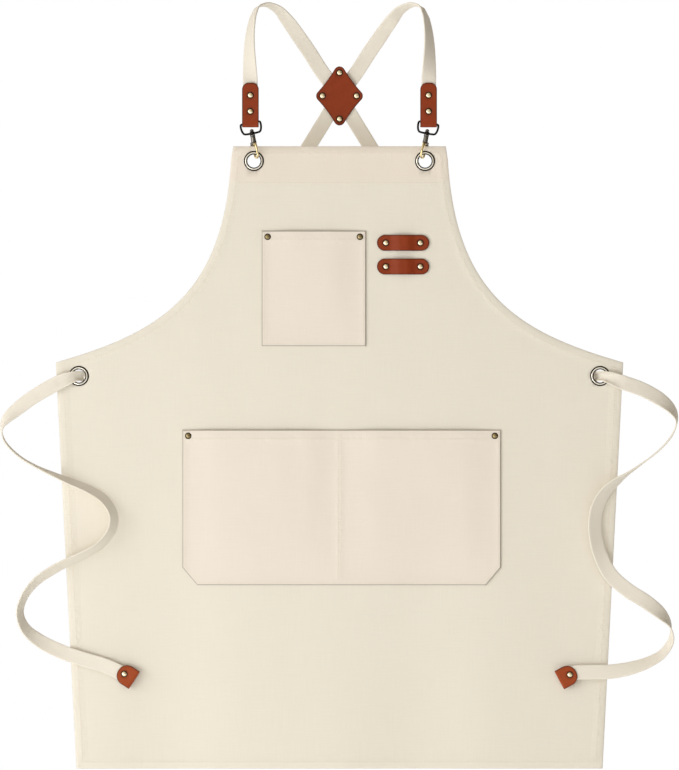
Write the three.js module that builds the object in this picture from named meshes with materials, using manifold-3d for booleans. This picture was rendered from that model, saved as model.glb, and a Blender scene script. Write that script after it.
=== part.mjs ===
// A canvas apron hanging by its cross-back straps.
// Millimetres, +Z up, the front of the apron faces -Y. Left and right are as seen from the front.
// The origin is midway between the two strap crowns, level with their undersides.
import * as THREE from 'three';
import { mergeVertices } from 'three/addons/utils/BufferGeometryUtils.js';
import Module from 'manifold-3d';

const wasm = await Module();
wasm.setup();

// Driving dimensions
const gap = 0.3; // left between pieces that touch
const canvas = 0.8;
const leather = 1.8;
const webbing = { width: 18, thickness: 1.8 };

const bib = { topZ: -167, topHalf: 129, sideZ: -183, sideHalf: 131.5, facingHeight: 46 };
const armholePull = [{ x: 141.4, z: -346.5 }, { x: 216.3, z: -393.8 }];
const waist = { half: 345.4, z: -430.5 };
const hem = { half: 320.3, z: -924.8 };
const facingY = canvas + gap;
const bibDepth = facingY + canvas;

const eyelet = { hole: 8, barrel: 8.6, flange: 12.2, sheet: 0.9 };
const bibEyelet = { x: 104.4, z: -184.2 };
const waistEyelet = { x: 318, z: -446.5 };

const chestPocket = { left: -94.2, right: 31.4, top: -270.2, bottom: -409.3 };
const waistPocket = { left: -191, right: 196, top: -513, bottom: -700.9 };
const pocketClip = { x: 17.7, z: 21 }; // clipped lower corners of the waist pocket
const pouch = { seam: 11.5, foot: 8, slope: 8, depth: 6.2 };
const pocketRivetInset = 6.5;

const toolLoop = { x: 77.6, length: 63.7, height: 19.4, rivets: 42, arch: 5.6, flat: 19, foot: 28 };
const toolLoopZ = { upper: -284.1, lower: -313 };

const rivet = { cap: 4.4, dome: 2, post: 1.5, hole: 1.8, back: 3.8, backHeight: 1.1 };

const tab = { x: 108.7, top: -88.8, foldZ: -139.8, width: 20.3, corner: 8, slot: 1.5 };
const tabRivetZ = [-104, -123.7];

const patch = { z: -104, half: 28.7, tall: 36.1, tip: 8.5, y: 57, rivetX: 20.9, rivetZ: 28.4 };
const leftStrapY = patch.y + leather + gap + webbing.thickness / 2;
const rightStrapY = leftStrapY + webbing.thickness + gap;
const patchBackY = rightStrapY + webbing.thickness / 2 + gap;

const hookTilt = THREE.MathUtils.degToRad(10.7);
const hookTurn = THREE.MathUtils.degToRad(16);
const eye = { y: bibDepth / 2, z: -137.8, wire: 1.1, topHalf: 12.2, lowHalf: 10.4, drop: 11.6, straight: 4.8 };
const boss = { radius: 3.1, bore: 1.5, top: -9.9, bottom: -13.1 };
const barrel = { radius: 2.7, top: -13.4, bottom: -26.6, stem: 1.2, head: 2.3, headTop: -7.4 };
const claw = { wire: 1.2, half: 6.8, shoulder: -27.6, bottom: -43.2, corner: 4.2, tip: -35.6 };
const gate = { y: 5.4, z: -28, eye: 1.9, end: -35.2, bore: 0.9, width: 2.4, thick: 1.5 };
const pin = { radius: 0.6, ears: 3, head: 1.3 };

const tip = { length: 23, width: 25, slot: 1.2, leather: 1.4, rivet: 14.6 };

// Finishes
const finish = (color, roughness, metalness = 0) => (
  new THREE.MeshStandardMaterial({ color, roughness, metalness })
);
const finishes = {
  canvas: finish(0xe9e0cf, 0.95),
  pocketCanvas: finish(0xe6dccb, 0.95),
  webbing: finish(0xefe8d9, 0.9),
  leather: finish(0x8c4224, 0.55),
  tipLeather: finish(0xa8532f, 0.5),
  brass: finish(0x9c8452, 0.35, 1),
  eyelet: finish(0x6e675a, 0.3, 1),
  gunmetal: finish(0x4a4842, 0.35, 1),
  gilt: finish(0xc2a25c, 0.3, 1),
};

const apron = new THREE.Group();

function add(name, geometry, material, parent = apron) {
  const mesh = new THREE.Mesh(geometry, material);
  mesh.name = name;
  parent.add(mesh);
  return mesh;
}

// Joining and cutting
function solid(geometry) {
  const bare = geometry.clone();
  bare.deleteAttribute('normal');
  bare.deleteAttribute('uv');
  const merged = mergeVertices(bare, 1e-4);
  return new wasm.Manifold(new wasm.Mesh({
    numProp: 3,
    vertProperties: new Float32Array(merged.attributes.position.array),
    triVerts: new Uint32Array(merged.index.array),
  }));
}

function geometryOf(manifold) {
  const mesh = manifold.getMesh();
  const geometry = new THREE.BufferGeometry();
  geometry.setAttribute('position', new THREE.BufferAttribute(mesh.vertProperties, 3));
  geometry.setIndex(new THREE.BufferAttribute(mesh.triVerts, 1));
  return geometry;
}

function cut(geometry, ...tools) {
  return geometryOf(tools.reduce((rest, tool) => rest.subtract(solid(tool)), solid(geometry)));
}

function join(first, ...others) {
  return geometryOf(others.reduce((sum, other) => sum.add(solid(other)), solid(first)));
}

function trim(geometry, outline) {
  return geometryOf(solid(geometry).intersect(solid(outline)));
}

// A flat sheet from an outline in X and Z, its front face at y
function sheet(outline, y, thickness, curveSegments = 6) {
  const geometry = new THREE.ExtrudeGeometry(outline, {
    depth: thickness, bevelEnabled: false, curveSegments,
  });
  geometry.rotateX(Math.PI / 2);
  return geometry.translate(0, y + thickness, 0);
}

function roundHole(x, z, radius) {
  const hole = new THREE.Path();
  hole.absarc(x, z, radius, 0, Math.PI * 2, true);
  return hole;
}

function rivetHole(x, y, z) {
  return new THREE.CylinderGeometry(rivet.hole, rivet.hole, 30, 12).translate(x, y, z);
}

function box(x0, x1, y0, y1, z0, z1) {
  const geometry = new THREE.BoxGeometry(x1 - x0, y1 - y0, z1 - z0);
  return geometry.translate((x0 + x1) / 2, (y0 + y1) / 2, (z0 + z1) / 2);
}

// Turned about the Y axis, its front at y
function turned(profile, x, y, z, segments = 14) {
  const points = profile.map(([radius, depth]) => new THREE.Vector2(radius, depth));
  return new THREE.LatheGeometry(points, segments).translate(x, y, z);
}

// A domed rivet through a stack that starts at y
function addRivet(name, x, y, z, stack, parent = apron) {
  const seat = -gap / 2;
  const far = stack + gap / 2;
  add(name, turned([
    [0, seat - rivet.dome],
    [rivet.cap * 0.65, seat - rivet.dome * 0.8],
    [rivet.cap, seat - 0.4],
    [rivet.cap, seat],
    [rivet.post, seat],
    [rivet.post, far],
    [rivet.back, far],
    [rivet.back * 0.75, far + rivet.backHeight],
    [0, far + rivet.backHeight],
  ], x, y, z), finishes.brass, parent);
}

// An eyelet's flanged front half, and the washer that its barrel is rolled over at the back
function addEyelet(place, x, z, stack) {
  const front = -gap - eyelet.sheet;
  const back = stack + gap;
  const lip = back + eyelet.sheet + 0.5;
  add(`${place.replace('_', '_grommet_')}`, turned([
    [eyelet.hole, -gap],
    [eyelet.hole + 1.2, front],
    [eyelet.flange - 1.4, front],
    [eyelet.flange, front + 0.5],
    [eyelet.flange, -gap],
    [eyelet.barrel, -gap],
    [eyelet.barrel, lip],
    [eyelet.hole, lip],
    [eyelet.hole, -gap],
  ], x, 0, z, 20), finishes.eyelet);
  add(`${place.replace('_', '_washer_')}`, turned([
    [eyelet.barrel + gap, back],
    [eyelet.flange - 0.4, back],
    [eyelet.flange - 1, back + eyelet.sheet],
    [eyelet.barrel + gap, back + eyelet.sheet],
    [eyelet.barrel + gap, back],
  ], x, 0, z, 20), finishes.eyelet);
}

// Body cloth
const pocketRivets = [
  ['chest_pocket_rivet_left', chestPocket.left + pocketRivetInset, chestPocket.top - pocketRivetInset],
  ['chest_pocket_rivet_right', chestPocket.right - pocketRivetInset, chestPocket.top - pocketRivetInset],
  ['waist_pocket_rivet_left', waistPocket.left + pocketRivetInset, waistPocket.top - pocketRivetInset],
  ['waist_pocket_rivet_right', waistPocket.right - pocketRivetInset, waistPocket.top - pocketRivetInset],
];
const loopRivets = Object.entries(toolLoopZ).flatMap(([name, z]) => [
  [`tool_loop_${name}_rivet_left`, toolLoop.x - toolLoop.rivets / 2, z],
  [`tool_loop_${name}_rivet_right`, toolLoop.x + toolLoop.rivets / 2, z],
]);

function panelOutline() {
  const outline = new THREE.Shape();
  outline.moveTo(-hem.half, hem.z);
  outline.lineTo(hem.half, hem.z);
  outline.lineTo(waist.half, waist.z);
  const [high, low] = armholePull;
  outline.bezierCurveTo(low.x, low.z, high.x, high.z, bib.sideHalf, bib.sideZ);
  outline.lineTo(bib.topHalf, bib.topZ);
  outline.lineTo(-bib.topHalf, bib.topZ);
  outline.lineTo(-bib.sideHalf, bib.sideZ);
  outline.bezierCurveTo(-high.x, high.z, -low.x, low.z, -waist.half, waist.z);
  outline.closePath();
  for (const { x, z } of [bibEyelet, waistEyelet]) {
    outline.holes.push(roundHole(x, z, eyelet.barrel + gap), roundHole(-x, z, eyelet.barrel + gap));
  }
  for (const [, x, z] of [...pocketRivets, ...loopRivets]) outline.holes.push(roundHole(x, z, rivet.hole));
  return outline;
}
add('panel', sheet(panelOutline(), 0, canvas, 14), finishes.canvas);

function facingOutline() {
  const outline = new THREE.Shape();
  const low = bib.topZ - bib.facingHeight;
  outline.moveTo(-bib.sideHalf, low);
  outline.lineTo(bib.sideHalf, low);
  outline.lineTo(bib.sideHalf, bib.sideZ);
  outline.lineTo(bib.topHalf, bib.topZ);
  outline.lineTo(-bib.topHalf, bib.topZ);
  outline.lineTo(-bib.sideHalf, bib.sideZ);
  outline.closePath();
  outline.holes.push(roundHole(bibEyelet.x, bibEyelet.z, eyelet.barrel + gap));
  outline.holes.push(roundHole(-bibEyelet.x, bibEyelet.z, eyelet.barrel + gap));
  return outline;
}
add('bib_facing', sheet(facingOutline(), facingY, canvas), finishes.canvas);

// A pocket stands away from the panel between its seams, and is open at the top
function pocketCloth(pocket, seams, clip) {
  const width = pocket.right - pocket.left;
  const columns = [0, pouch.seam, pouch.seam + pouch.slope];
  const rise = [0, 0, 1];
  for (const seam of seams) {
    const x = seam - pocket.left;
    columns.push(x - pouch.slope, x, x + pouch.slope);
    rise.push(1, 0, 1);
  }
  columns.push(width - pouch.seam - pouch.slope, width - pouch.seam, width);
  rise.push(1, 0, 0);
  const height = pocket.top - pocket.bottom;
  const rows = [0, pouch.foot, pouch.foot + pouch.slope, height / 2, height];
  const rowRise = [0, 0, 1, 1, 1];
  const geometry = new THREE.BoxGeometry(width, canvas, height, columns.length - 1, 1, rows.length - 1);
  const position = geometry.attributes.position;
  for (let i = 0; i < position.count; i += 1) {
    const column = Math.round((position.getX(i) / width + 0.5) * (columns.length - 1));
    const row = Math.round((position.getZ(i) / height + 0.5) * (rows.length - 1));
    const away = pouch.depth * Math.min(rise[column], rowRise[row]);
    position.setXYZ(
      i,
      pocket.left + columns[column],
      position.getY(i) - gap - canvas / 2 - away,
      pocket.bottom + rows[row],
    );
  }
  const outline = new THREE.Shape();
  outline.moveTo(pocket.left + clip.x, pocket.bottom);
  outline.lineTo(pocket.right - clip.x, pocket.bottom);
  outline.lineTo(pocket.right, pocket.bottom + clip.z);
  outline.lineTo(pocket.right, pocket.top);
  outline.lineTo(pocket.left, pocket.top);
  outline.lineTo(pocket.left, pocket.bottom + clip.z);
  outline.closePath();
  const z = pocket.top - pocketRivetInset;
  const holes = [pocket.left + pocketRivetInset, pocket.right - pocketRivetInset].map((x) => rivetHole(x, 0, z));
  return cut(trim(geometry, sheet(outline, -20, 30)), ...holes);
}
add('chest_pocket', pocketCloth(chestPocket, [], { x: 1, z: 1 }), finishes.pocketCanvas);
add('waist_pocket', pocketCloth(waistPocket, [0], pocketClip), finishes.pocketCanvas);
for (const [name, x, z] of pocketRivets) {
  addRivet(name, x, -gap - canvas, z, canvas * 2 + gap);
}

// Tool loops: leather strips with round ends, arched away from the bib between their rivets
function toolLoopLeather(z) {
  const { x, length, height, arch, flat, foot } = toolLoop;
  const steps = 18;
  const geometry = new THREE.BoxGeometry(length, leather, height, steps, 1, 1);
  const position = geometry.attributes.position;
  for (let i = 0; i < position.count; i += 1) {
    const off = Math.abs(position.getX(i));
    const away = arch * (1 - THREE.MathUtils.smoothstep(off, flat / 2, foot / 2));
    position.setY(i, position.getY(i) - gap - leather / 2 - away);
  }
  geometry.translate(x, 0, z);
  const half = length / 2 - height / 2;
  const outline = new THREE.Shape();
  outline.absarc(x + half, z, height / 2, -Math.PI / 2, Math.PI / 2, false);
  outline.absarc(x - half, z, height / 2, Math.PI / 2, Math.PI * 1.5, false);
  outline.closePath();
  const holes = [-1, 1].map((side) => rivetHole(x + (side * toolLoop.rivets) / 2, 0, z));
  return cut(trim(geometry, sheet(outline, -20, 30)), ...holes);
}
for (const [name, z] of Object.entries(toolLoopZ)) {
  add(`tool_loop_${name}`, toolLoopLeather(z), finishes.leather);
}
for (const [name, x, z] of loopRivets) addRivet(name, x, -gap - leather, z, leather + gap + canvas);

addEyelet('bib_left', -bibEyelet.x, bibEyelet.z, bibDepth);
addEyelet('bib_right', bibEyelet.x, bibEyelet.z, bibDepth);
addEyelet('waist_left', -waistEyelet.x, waistEyelet.z, canvas);
addEyelet('waist_right', waistEyelet.x, waistEyelet.z, canvas);

// Cross patch: two leather diamonds with round points, a strap crossing between them each way
function patchOutline() {
  const { half, tall, tip: round, z, rivetX, rivetZ } = patch;
  const side = round * 0.55;
  const high = tall - round * 0.35;
  const wide = half - round * 0.4;
  const outline = new THREE.Shape();
  outline.moveTo(side, z + high);
  outline.quadraticCurveTo(0, z + tall + round * 0.35, -side, z + high);
  outline.quadraticCurveTo(-half * 0.5, z + tall * 0.42, -wide, z + side);
  outline.quadraticCurveTo(-half - round * 0.4, z, -wide, z - side);
  outline.quadraticCurveTo(-half * 0.5, z - tall * 0.42, -side, z - high);
  outline.quadraticCurveTo(0, z - tall - round * 0.35, side, z - high);
  outline.quadraticCurveTo(half * 0.5, z - tall * 0.42, wide, z - side);
  outline.quadraticCurveTo(half + round * 0.4, z, wide, z + side);
  outline.quadraticCurveTo(half * 0.5, z + tall * 0.42, side, z + high);
  outline.closePath();
  outline.holes.push(roundHole(0, z + rivetZ, rivet.hole), roundHole(0, z - rivetZ, rivet.hole));
  outline.holes.push(roundHole(rivetX, z, rivet.hole), roundHole(-rivetX, z, rivet.hole));
  return outline;
}
add('cross_patch_front', sheet(patchOutline(), patch.y, leather), finishes.leather);
add('cross_patch_back', sheet(patchOutline(), patchBackY, leather), finishes.leather);
const patchStack = patchBackY + leather - patch.y;
addRivet('cross_patch_rivet_top', 0, patch.y, patch.z + patch.rivetZ, patchStack);
addRivet('cross_patch_rivet_bottom', 0, patch.y, patch.z - patch.rivetZ, patchStack);
addRivet('cross_patch_rivet_left', -patch.rivetX, patch.y, patch.z, patchStack);
addRivet('cross_patch_rivet_right', patch.rivetX, patch.y, patch.z, patchStack);

// Webbing: each stop is x, y, z, the lean of its face in degrees and its width.
// At lean 0 or 180 the webbing lies flat to the front, at 90 it stands on edge.
function ribbon(stops, steps) {
  const route = new THREE.CatmullRomCurve3(
    stops.map(([x, y, z]) => new THREE.Vector3(x, y, z)),
    false,
    'centripetal',
  );
  const { width, thickness } = webbing;
  const geometry = new THREE.BoxGeometry(1, width, thickness, steps, 1, 1);
  const position = geometry.attributes.position;
  const spot = new THREE.Vector3();
  for (let i = 0; i < position.count; i += 1) {
    const along = THREE.MathUtils.clamp(position.getX(i) + 0.5, 0, 1);
    const place = along * (stops.length - 1);
    const low = Math.min(Math.floor(place), stops.length - 2);
    const share = place - low;
    const lean = THREE.MathUtils.degToRad(THREE.MathUtils.lerp(stops[low][3], stops[low + 1][3], share));
    const wide = THREE.MathUtils.lerp(stops[low][4] ?? width, stops[low + 1][4] ?? width, share) / width;
    const tangent = route.getTangent(along);
    const flat = new THREE.Vector3(tangent.z, 0, -tangent.x).normalize();
    const across = flat.multiplyScalar(Math.cos(lean)).add(new THREE.Vector3(0, Math.sin(lean), 0));
    across.addScaledVector(tangent, -across.dot(tangent)).normalize();
    const out = new THREE.Vector3().crossVectors(tangent, across);
    route.getPoint(along, spot);
    spot.addScaledVector(across, position.getY(i) * wide);
    spot.addScaledVector(out, position.getZ(i));
    position.setXYZ(i, spot.x, spot.y, spot.z);
  }
  return geometry;
}

// From the hook tab over the shoulder and down through the cross patch, for the left strap
function shoulderStops(crossY) {
  return [
    [-108.7, eye.y, -133, 0],
    [-108.7, eye.y, -112, 0],
    [-108.8, eye.y, -96, 0],
    [-108.9, 1.05, -87.5, -1.5],
    [-109.3, 1.7, -74, -20],
    [-109.8, 3.4, -59, -35],
    [-110, 7, -45, -46],
    [-109.4, 12, -31, -56],
    [-107.8, 19, -17, -65],
    [-105, 27, -4.5, -74],
    [-99.4, 35.5, 5.5, -86],
    [-88.5, 44, 8.6, -102],
    [-75, 51, 2.5, -124],
    [-65, 55, -9, -146],
    [-56.5, crossY - 2.2, -20.5, -160],
    [-47.5, crossY - 0.6, -33.5, -172],
    [-37.2, crossY, -48.5, -180],
    [-24.5, crossY, -68.5, -180],
    [-12, crossY, -86.5, -180],
    [0, crossY, -104, -180],
    [12, crossY, -123, -180],
    [23, crossY, -141, -180],
    [33.5, crossY, -158, -180],
    [42, crossY, -172, -180],
  ];
}

// The same strap behind the panel, from the bib's top to the middle of the far waist eyelet
function backStops(crossY) {
  return [
    [42.2, crossY, -172.4, -180],
    [66, crossY, -212, -180],
    [98, 59, -262, -180],
    [140, 55, -322, -180],
    [190, 47, -379, -180],
    [238, 34, -420, -180],
    [272, 21, -440, -180],
    [292, 12.6, -446.5, -180, 17],
    [305, 7.2, -447, -180, 14],
    [312, 3.9, -446.8, -180, 11],
    [316.6, 1.3, -446.6, -180, 11],
  ];
}

// The free ends, from the waist eyelets down to their leather tips
const leftTieStops = [
  [-318.8, -0.2, -446.5, 0, 11],
  [-324, -3.1, -447.4, 0, 11.5],
  [-332, -5, -450, 0, 15],
  [-345.9, -5, -456.4, 4, 18],
  [-370.8, -5.6, -470.6, 12],
  [-391, -7, -485.4, 24],
  [-406.4, -9.6, -499.8, 52],
  [-411.6, -11, -512, 84],
  [-408, -11.4, -526, 92],
  [-391, -11.4, -544, 94],
  [-370.3, -11.4, -556.6, 96],
  [-350, -11.2, -566, 104],
  [-328.8, -11, -575, 114],
  [-304.6, -10.8, -585.4, 120],
  [-286, -10.6, -598, 124],
  [-275.6, -10.6, -616, 124],
  [-278, -10.6, -635, 123],
  [-292.4, -10.6, -652.8, 122],
  [-313, -10.6, -665, 122],
  [-333.6, -10.6, -674.6, 124],
  [-351, -10.4, -684, 126],
  [-370.6, -10.2, -698, 122],
  [-384.6, -10, -716.6, 116],
  [-389.6, -9.6, -735.6, 117],
  [-383.4, -9, -753.4, 130],
  [-366.6, -8, -768.6, 152],
  [-338.6, -6.4, -782.8, 170],
  [-311, -5.4, -792.2, 178],
  [-287, -5, -799.4, 180],
  [-266, -5, -809, 180],
  [-252.9, -5, -817, 180],
];
const rightTieStops = [
  [318.8, -0.2, -446.5, 180, 11],
  [324, -3.1, -447.2, 180, 11.5],
  [332, -5, -449.4, 180, 15],
  [345.9, -5, -454.6, 176, 18],
  [368, -5.6, -462.4, 168],
  [391, -7, -475, 154],
  [406, -9.6, -489, 124],
  [410.8, -11, -502, 96],
  [405.6, -11.4, -518, 90],
  [390, -11.4, -536.6, 90],
  [367, -11.4, -554.4, 94],
  [350.6, -11, -566, 102],
  [338.4, -10.2, -574.6, 120],
  [325, -9, -587.4, 140],
  [315, -8, -605.4, 152],
  [311.4, -7.6, -627, 155],
  [313.8, -7.6, -650, 158],
  [320.2, -7.2, -670, 166],
  [331.6, -7, -690, 176],
  [352, -7, -708, 178],
  [374.6, -7.8, -722.4, 168],
  [393, -9.6, -737.6, 140],
  [403.4, -11, -752.6, 96],
  [404, -11, -768.6, 70],
  [394, -10.4, -784.6, 58],
  [376.6, -9.4, -795.4, 46],
  [354, -8, -803, 30],
  [330.6, -6.4, -807, 12],
  [306, -5.4, -807.6, 2],
  [284.2, -5, -809, 0],
  [270.8, -5, -815.8, 0],
];

function mirrored(stops) {
  return stops.map(([x, y, z, lean, ...rest]) => [-x, y, z, 180 - lean, ...rest]);
}
const tabHoles = (side) => tabRivetZ.map((z) => rivetHole(side * tab.x, 0, z));
add('shoulder_strap_left', cut(ribbon(shoulderStops(leftStrapY), 48), ...tabHoles(-1)), finishes.webbing);
add('shoulder_strap_right', cut(ribbon(mirrored(shoulderStops(rightStrapY)), 48), ...tabHoles(1)), finishes.webbing);
add('back_strap_left', ribbon(backStops(leftStrapY), 24), finishes.webbing);
add('back_strap_right', ribbon(mirrored(backStops(rightStrapY)), 24), finishes.webbing);

// A leather strip folded in two, from its folded edge at the origin up +Z
function foldedLeather(thickness, slot, width, height) {
  const outer = slot + thickness;
  const profile = new THREE.Shape();
  profile.absarc(0, 0, outer, Math.PI, Math.PI * 2, false);
  profile.lineTo(outer, height);
  profile.lineTo(slot, height);
  profile.absarc(0, 0, slot, 0, -Math.PI, true);
  profile.lineTo(-slot, height);
  profile.lineTo(-outer, height);
  profile.closePath();
  const geometry = new THREE.ExtrudeGeometry(profile, { depth: width, bevelEnabled: false, curveSegments: 8 });
  const [x, y, z] = [[1, 0, 0], [0, 1, 0], [0, 0, 1]].map((axis) => new THREE.Vector3(...axis));
  geometry.translate(0, 0, -width / 2);
  return geometry.applyMatrix4(new THREE.Matrix4().makeBasis(y, z, x));
}

// The leaf's outline, square at its fold and round at the other end
function leafOutline(width, bottom, top, corner) {
  const half = width / 2;
  const outline = new THREE.Shape();
  outline.moveTo(-half, bottom);
  outline.lineTo(half, bottom);
  outline.absarc(half - corner, top - corner, corner, 0, Math.PI / 2, false);
  outline.absarc(-half + corner, top - corner, corner, Math.PI / 2, Math.PI, false);
  outline.closePath();
  return outline;
}

// Hook tabs, the strap's end held in each fold by two rivets
function hookTab(side) {
  const height = tab.top - tab.foldZ;
  const folded = foldedLeather(leather, tab.slot, tab.width, height + 5);
  const shaped = trim(folded, sheet(leafOutline(tab.width, -5, height, tab.corner), -10, 20));
  shaped.translate(side * tab.x, eye.y, tab.foldZ);
  return cut(shaped, ...tabHoles(side));
}
for (const [name, side] of [['left', -1], ['right', 1]]) {
  add(`hook_tab_${name}`, hookTab(side), finishes.leather);
  const face = eye.y - tab.slot - leather;
  addRivet(`hook_tab_rivet_upper_${name}`, side * tab.x, face, tabRivetZ[0], (tab.slot + leather) * 2);
  addRivet(`hook_tab_rivet_lower_${name}`, side * tab.x, face, tabRivetZ[1], (tab.slot + leather) * 2);
}

// Tie tips, each in a frame whose +Z runs back along the tie from the folded edge
const tipPlaces = {
  left: { x: -250.1, y: -5, z: -817.6, turn: THREE.MathUtils.degToRad(-57.4) },
  right: { x: 268, y: -5, z: -817.6, turn: THREE.MathUtils.degToRad(61.8) },
};
const tieStops = { left: leftTieStops, right: rightTieStops };
for (const [name, place] of Object.entries(tipPlaces)) {
  const end = new THREE.Group();
  end.position.set(place.x, place.y, place.z);
  end.rotation.y = place.turn;
  end.updateMatrixWorld();
  apron.add(end);
  const outer = tip.slot + tip.leather;
  const folded = foldedLeather(tip.leather, tip.slot, tip.width, tip.length + 5).translate(0, 0, outer);
  const shape = trim(folded, sheet(leafOutline(tip.width, -5, tip.length, tip.width / 2 - 0.5), -10, 20));
  add(`tie_tip_${name}`, cut(shape, rivetHole(0, 0, tip.rivet)), finishes.tipLeather, end);
  addRivet(`tie_tip_rivet_${name}`, 0, -outer, tip.rivet, outer * 2, end);
  const hole = rivetHole(0, 0, tip.rivet).applyMatrix4(end.matrixWorld);
  add(`waist_tie_${name}`, cut(ribbon(tieStops[name], 76), hole), finishes.webbing);
}

// Wire along a route in the plane of X and Z or of Y and Z, round in section
function wire(route, radius, steps) {
  const section = new THREE.Shape();
  section.absarc(0, 0, radius, 0, Math.PI * 2, false);
  return new THREE.ExtrudeGeometry(section, { steps, extrudePath: route, curveSegments: 3, bevelEnabled: false });
}

function cylinder(radius, top, bottom, topRadius = radius) {
  const geometry = new THREE.CylinderGeometry(topRadius, radius, top - bottom, 14);
  return geometry.rotateX(Math.PI / 2).translate(0, 0, (top + bottom) / 2);
}

// The hook's wire eye, its bar along X through the origin, and the boss that the hook swivels in
function eyeWire() {
  const { topHalf, lowHalf, drop, straight, wire: radius } = eye;
  const bend = 1.7;
  const half = [
    [topHalf - bend, 0], [topHalf - 0.3, -0.5], [topHalf, -bend], [topHalf, -straight],
    [lowHalf + 0.6, -drop + 2.8], [lowHalf - 1, -drop + 0.6], [lowHalf - 4, -drop],
  ];
  const points = [...half, ...half.map(([x, z]) => [-x, z]).reverse()];
  const route = new THREE.CatmullRomCurve3(points.map(([x, z]) => new THREE.Vector3(x, 0, z)), true);
  const loop = closedTube(route, radius, 40, 6);
  const bossBlock = cylinder(boss.radius, boss.top, boss.bottom);
  return cut(join(loop, bossBlock), cylinder(boss.bore, 0, -20));
}

// A ring of round wire along a closed flat route in X and Z
function closedTube(route, radius, steps, sides) {
  const geometry = new THREE.TorusGeometry(10, radius, sides, steps);
  const position = geometry.attributes.position;
  const uv = geometry.attributes.uv;
  for (let i = 0; i < position.count; i += 1) {
    const along = uv.getX(i) % 1;
    const turn = uv.getY(i) * Math.PI * 2;
    const centre = route.getPointAt(along);
    const tangent = route.getTangentAt(along);
    const out = new THREE.Vector3(tangent.z, 0, -tangent.x);
    centre.addScaledVector(out, Math.cos(turn) * radius);
    centre.y -= Math.sin(turn) * radius;
    position.setXYZ(i, centre.x, centre.y, centre.z);
  }
  return geometry;
}

// The hook: a headed stem in the boss, a round barrel, and a claw that goes round through the eyelet
function hookBody() {
  const { half, shoulder, bottom, corner, tip: clawTip, wire: radius } = claw;
  const stops = [
    [0, barrel.bottom + 2.2], [-1.6, barrel.bottom + 1], [-4.4, shoulder + 0.9], [-6.2, shoulder - 1.4],
    [-half, shoulder - 4], [-half, bottom + corner + 1], [-half + 1, bottom + 1.8], [-half + corner, bottom],
    [0, bottom], [half - corner, bottom], [half - 1, bottom + 1.8], [half, bottom + corner + 0.6], [half, clawTip],
  ];
  const route = new THREE.CatmullRomCurve3(stops.map(([y, z]) => new THREE.Vector3(0, y, z)));
  const root = gate.y - gate.eye - 0.2;
  const ears = [-1, 1].flatMap((side) => {
    const inner = side * (pin.ears - 1);
    const outer = side * pin.ears;
    const [low, high] = [Math.min(inner, outer), Math.max(inner, outer)];
    const round = new THREE.CylinderGeometry(2.1, 2.1, 1, 16).rotateZ(Math.PI / 2);
    return [
      box(low, high, root, gate.y + 2.1, gate.z, barrel.bottom + 3),
      round.translate((low + high) / 2, gate.y, gate.z),
    ];
  });
  const shape = join(
    cylinder(barrel.radius, barrel.top, barrel.bottom),
    cylinder(barrel.stem, barrel.headTop - 1, barrel.top - 1),
    cylinder(barrel.head, barrel.headTop, boss.top + gap, 1.1),
    wire(route, radius, 30),
    box(-pin.ears, pin.ears, 0.4, gate.y + 1.6, barrel.bottom + 1.2, barrel.bottom + 3),
    ...ears,
  );
  const bore = new THREE.CylinderGeometry(gate.bore, gate.bore, 20, 12).rotateZ(Math.PI / 2);
  return cut(shape, bore.translate(0, gate.y, gate.z));
}

function gateLever() {
  const knuckle = new THREE.CylinderGeometry(gate.eye, gate.eye, 2.4, 16).rotateZ(Math.PI / 2);
  knuckle.translate(-0.5, gate.y, gate.z);
  const lever = box(-gate.width / 2, gate.width / 2, gate.y, gate.y + gate.thick, gate.end, gate.z - 1.2);
  const bore = new THREE.CylinderGeometry(gate.bore, gate.bore, 20, 12).rotateZ(Math.PI / 2);
  bore.translate(0, gate.y, gate.z);
  const springRoom = box(0.7, 3, gate.y - 3, gate.y + 3, gate.z - 2, gate.z + 3);
  return cut(join(knuckle, lever), bore, springRoom);
}

// Turned about X on the gate's pin
function onPin(profile, segments = 14) {
  const points = profile.map(([radius, along]) => new THREE.Vector2(radius, along));
  return new THREE.LatheGeometry(points, segments).rotateZ(-Math.PI / 2).translate(0, gate.y, gate.z);
}

for (const [name, side] of [['left', -1], ['right', 1]]) {
  const hanger = new THREE.Group();
  hanger.position.set(side * 108.9, eye.y, eye.z);
  hanger.rotation.y = side * hookTilt;
  apron.add(hanger);
  add(`hook_eye_${name}`, eyeWire(), finishes.gunmetal, hanger);
  const swivel = new THREE.Group();
  swivel.rotation.z = -side * hookTurn;
  hanger.add(swivel);
  add(`snap_hook_${name}`, hookBody(), finishes.gunmetal, swivel);
  add(`hook_gate_${name}`, gateLever(), finishes.gilt, swivel);
  const reach = pin.ears + gap;
  add(`gate_pin_${name}`, onPin([
    [0, -reach - 0.5], [pin.head, -reach - 0.5], [pin.head, -reach], [pin.radius, -reach],
    [pin.radius, reach], [pin.head, reach], [pin.head, reach + 0.5], [0, reach + 0.5],
  ]), finishes.gunmetal, swivel);
  add(`gate_spring_${name}`, onPin([
    [gate.bore, 0.95], [1.7, 0.95], [1.7, 1.75], [gate.bore, 1.75], [gate.bore, 0.95],
  ]), finishes.gunmetal, swivel);
}

export default apron;
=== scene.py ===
import bmesh
import bpy
import math
import numpy
from mathutils import Matrix, Vector, noise


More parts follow.
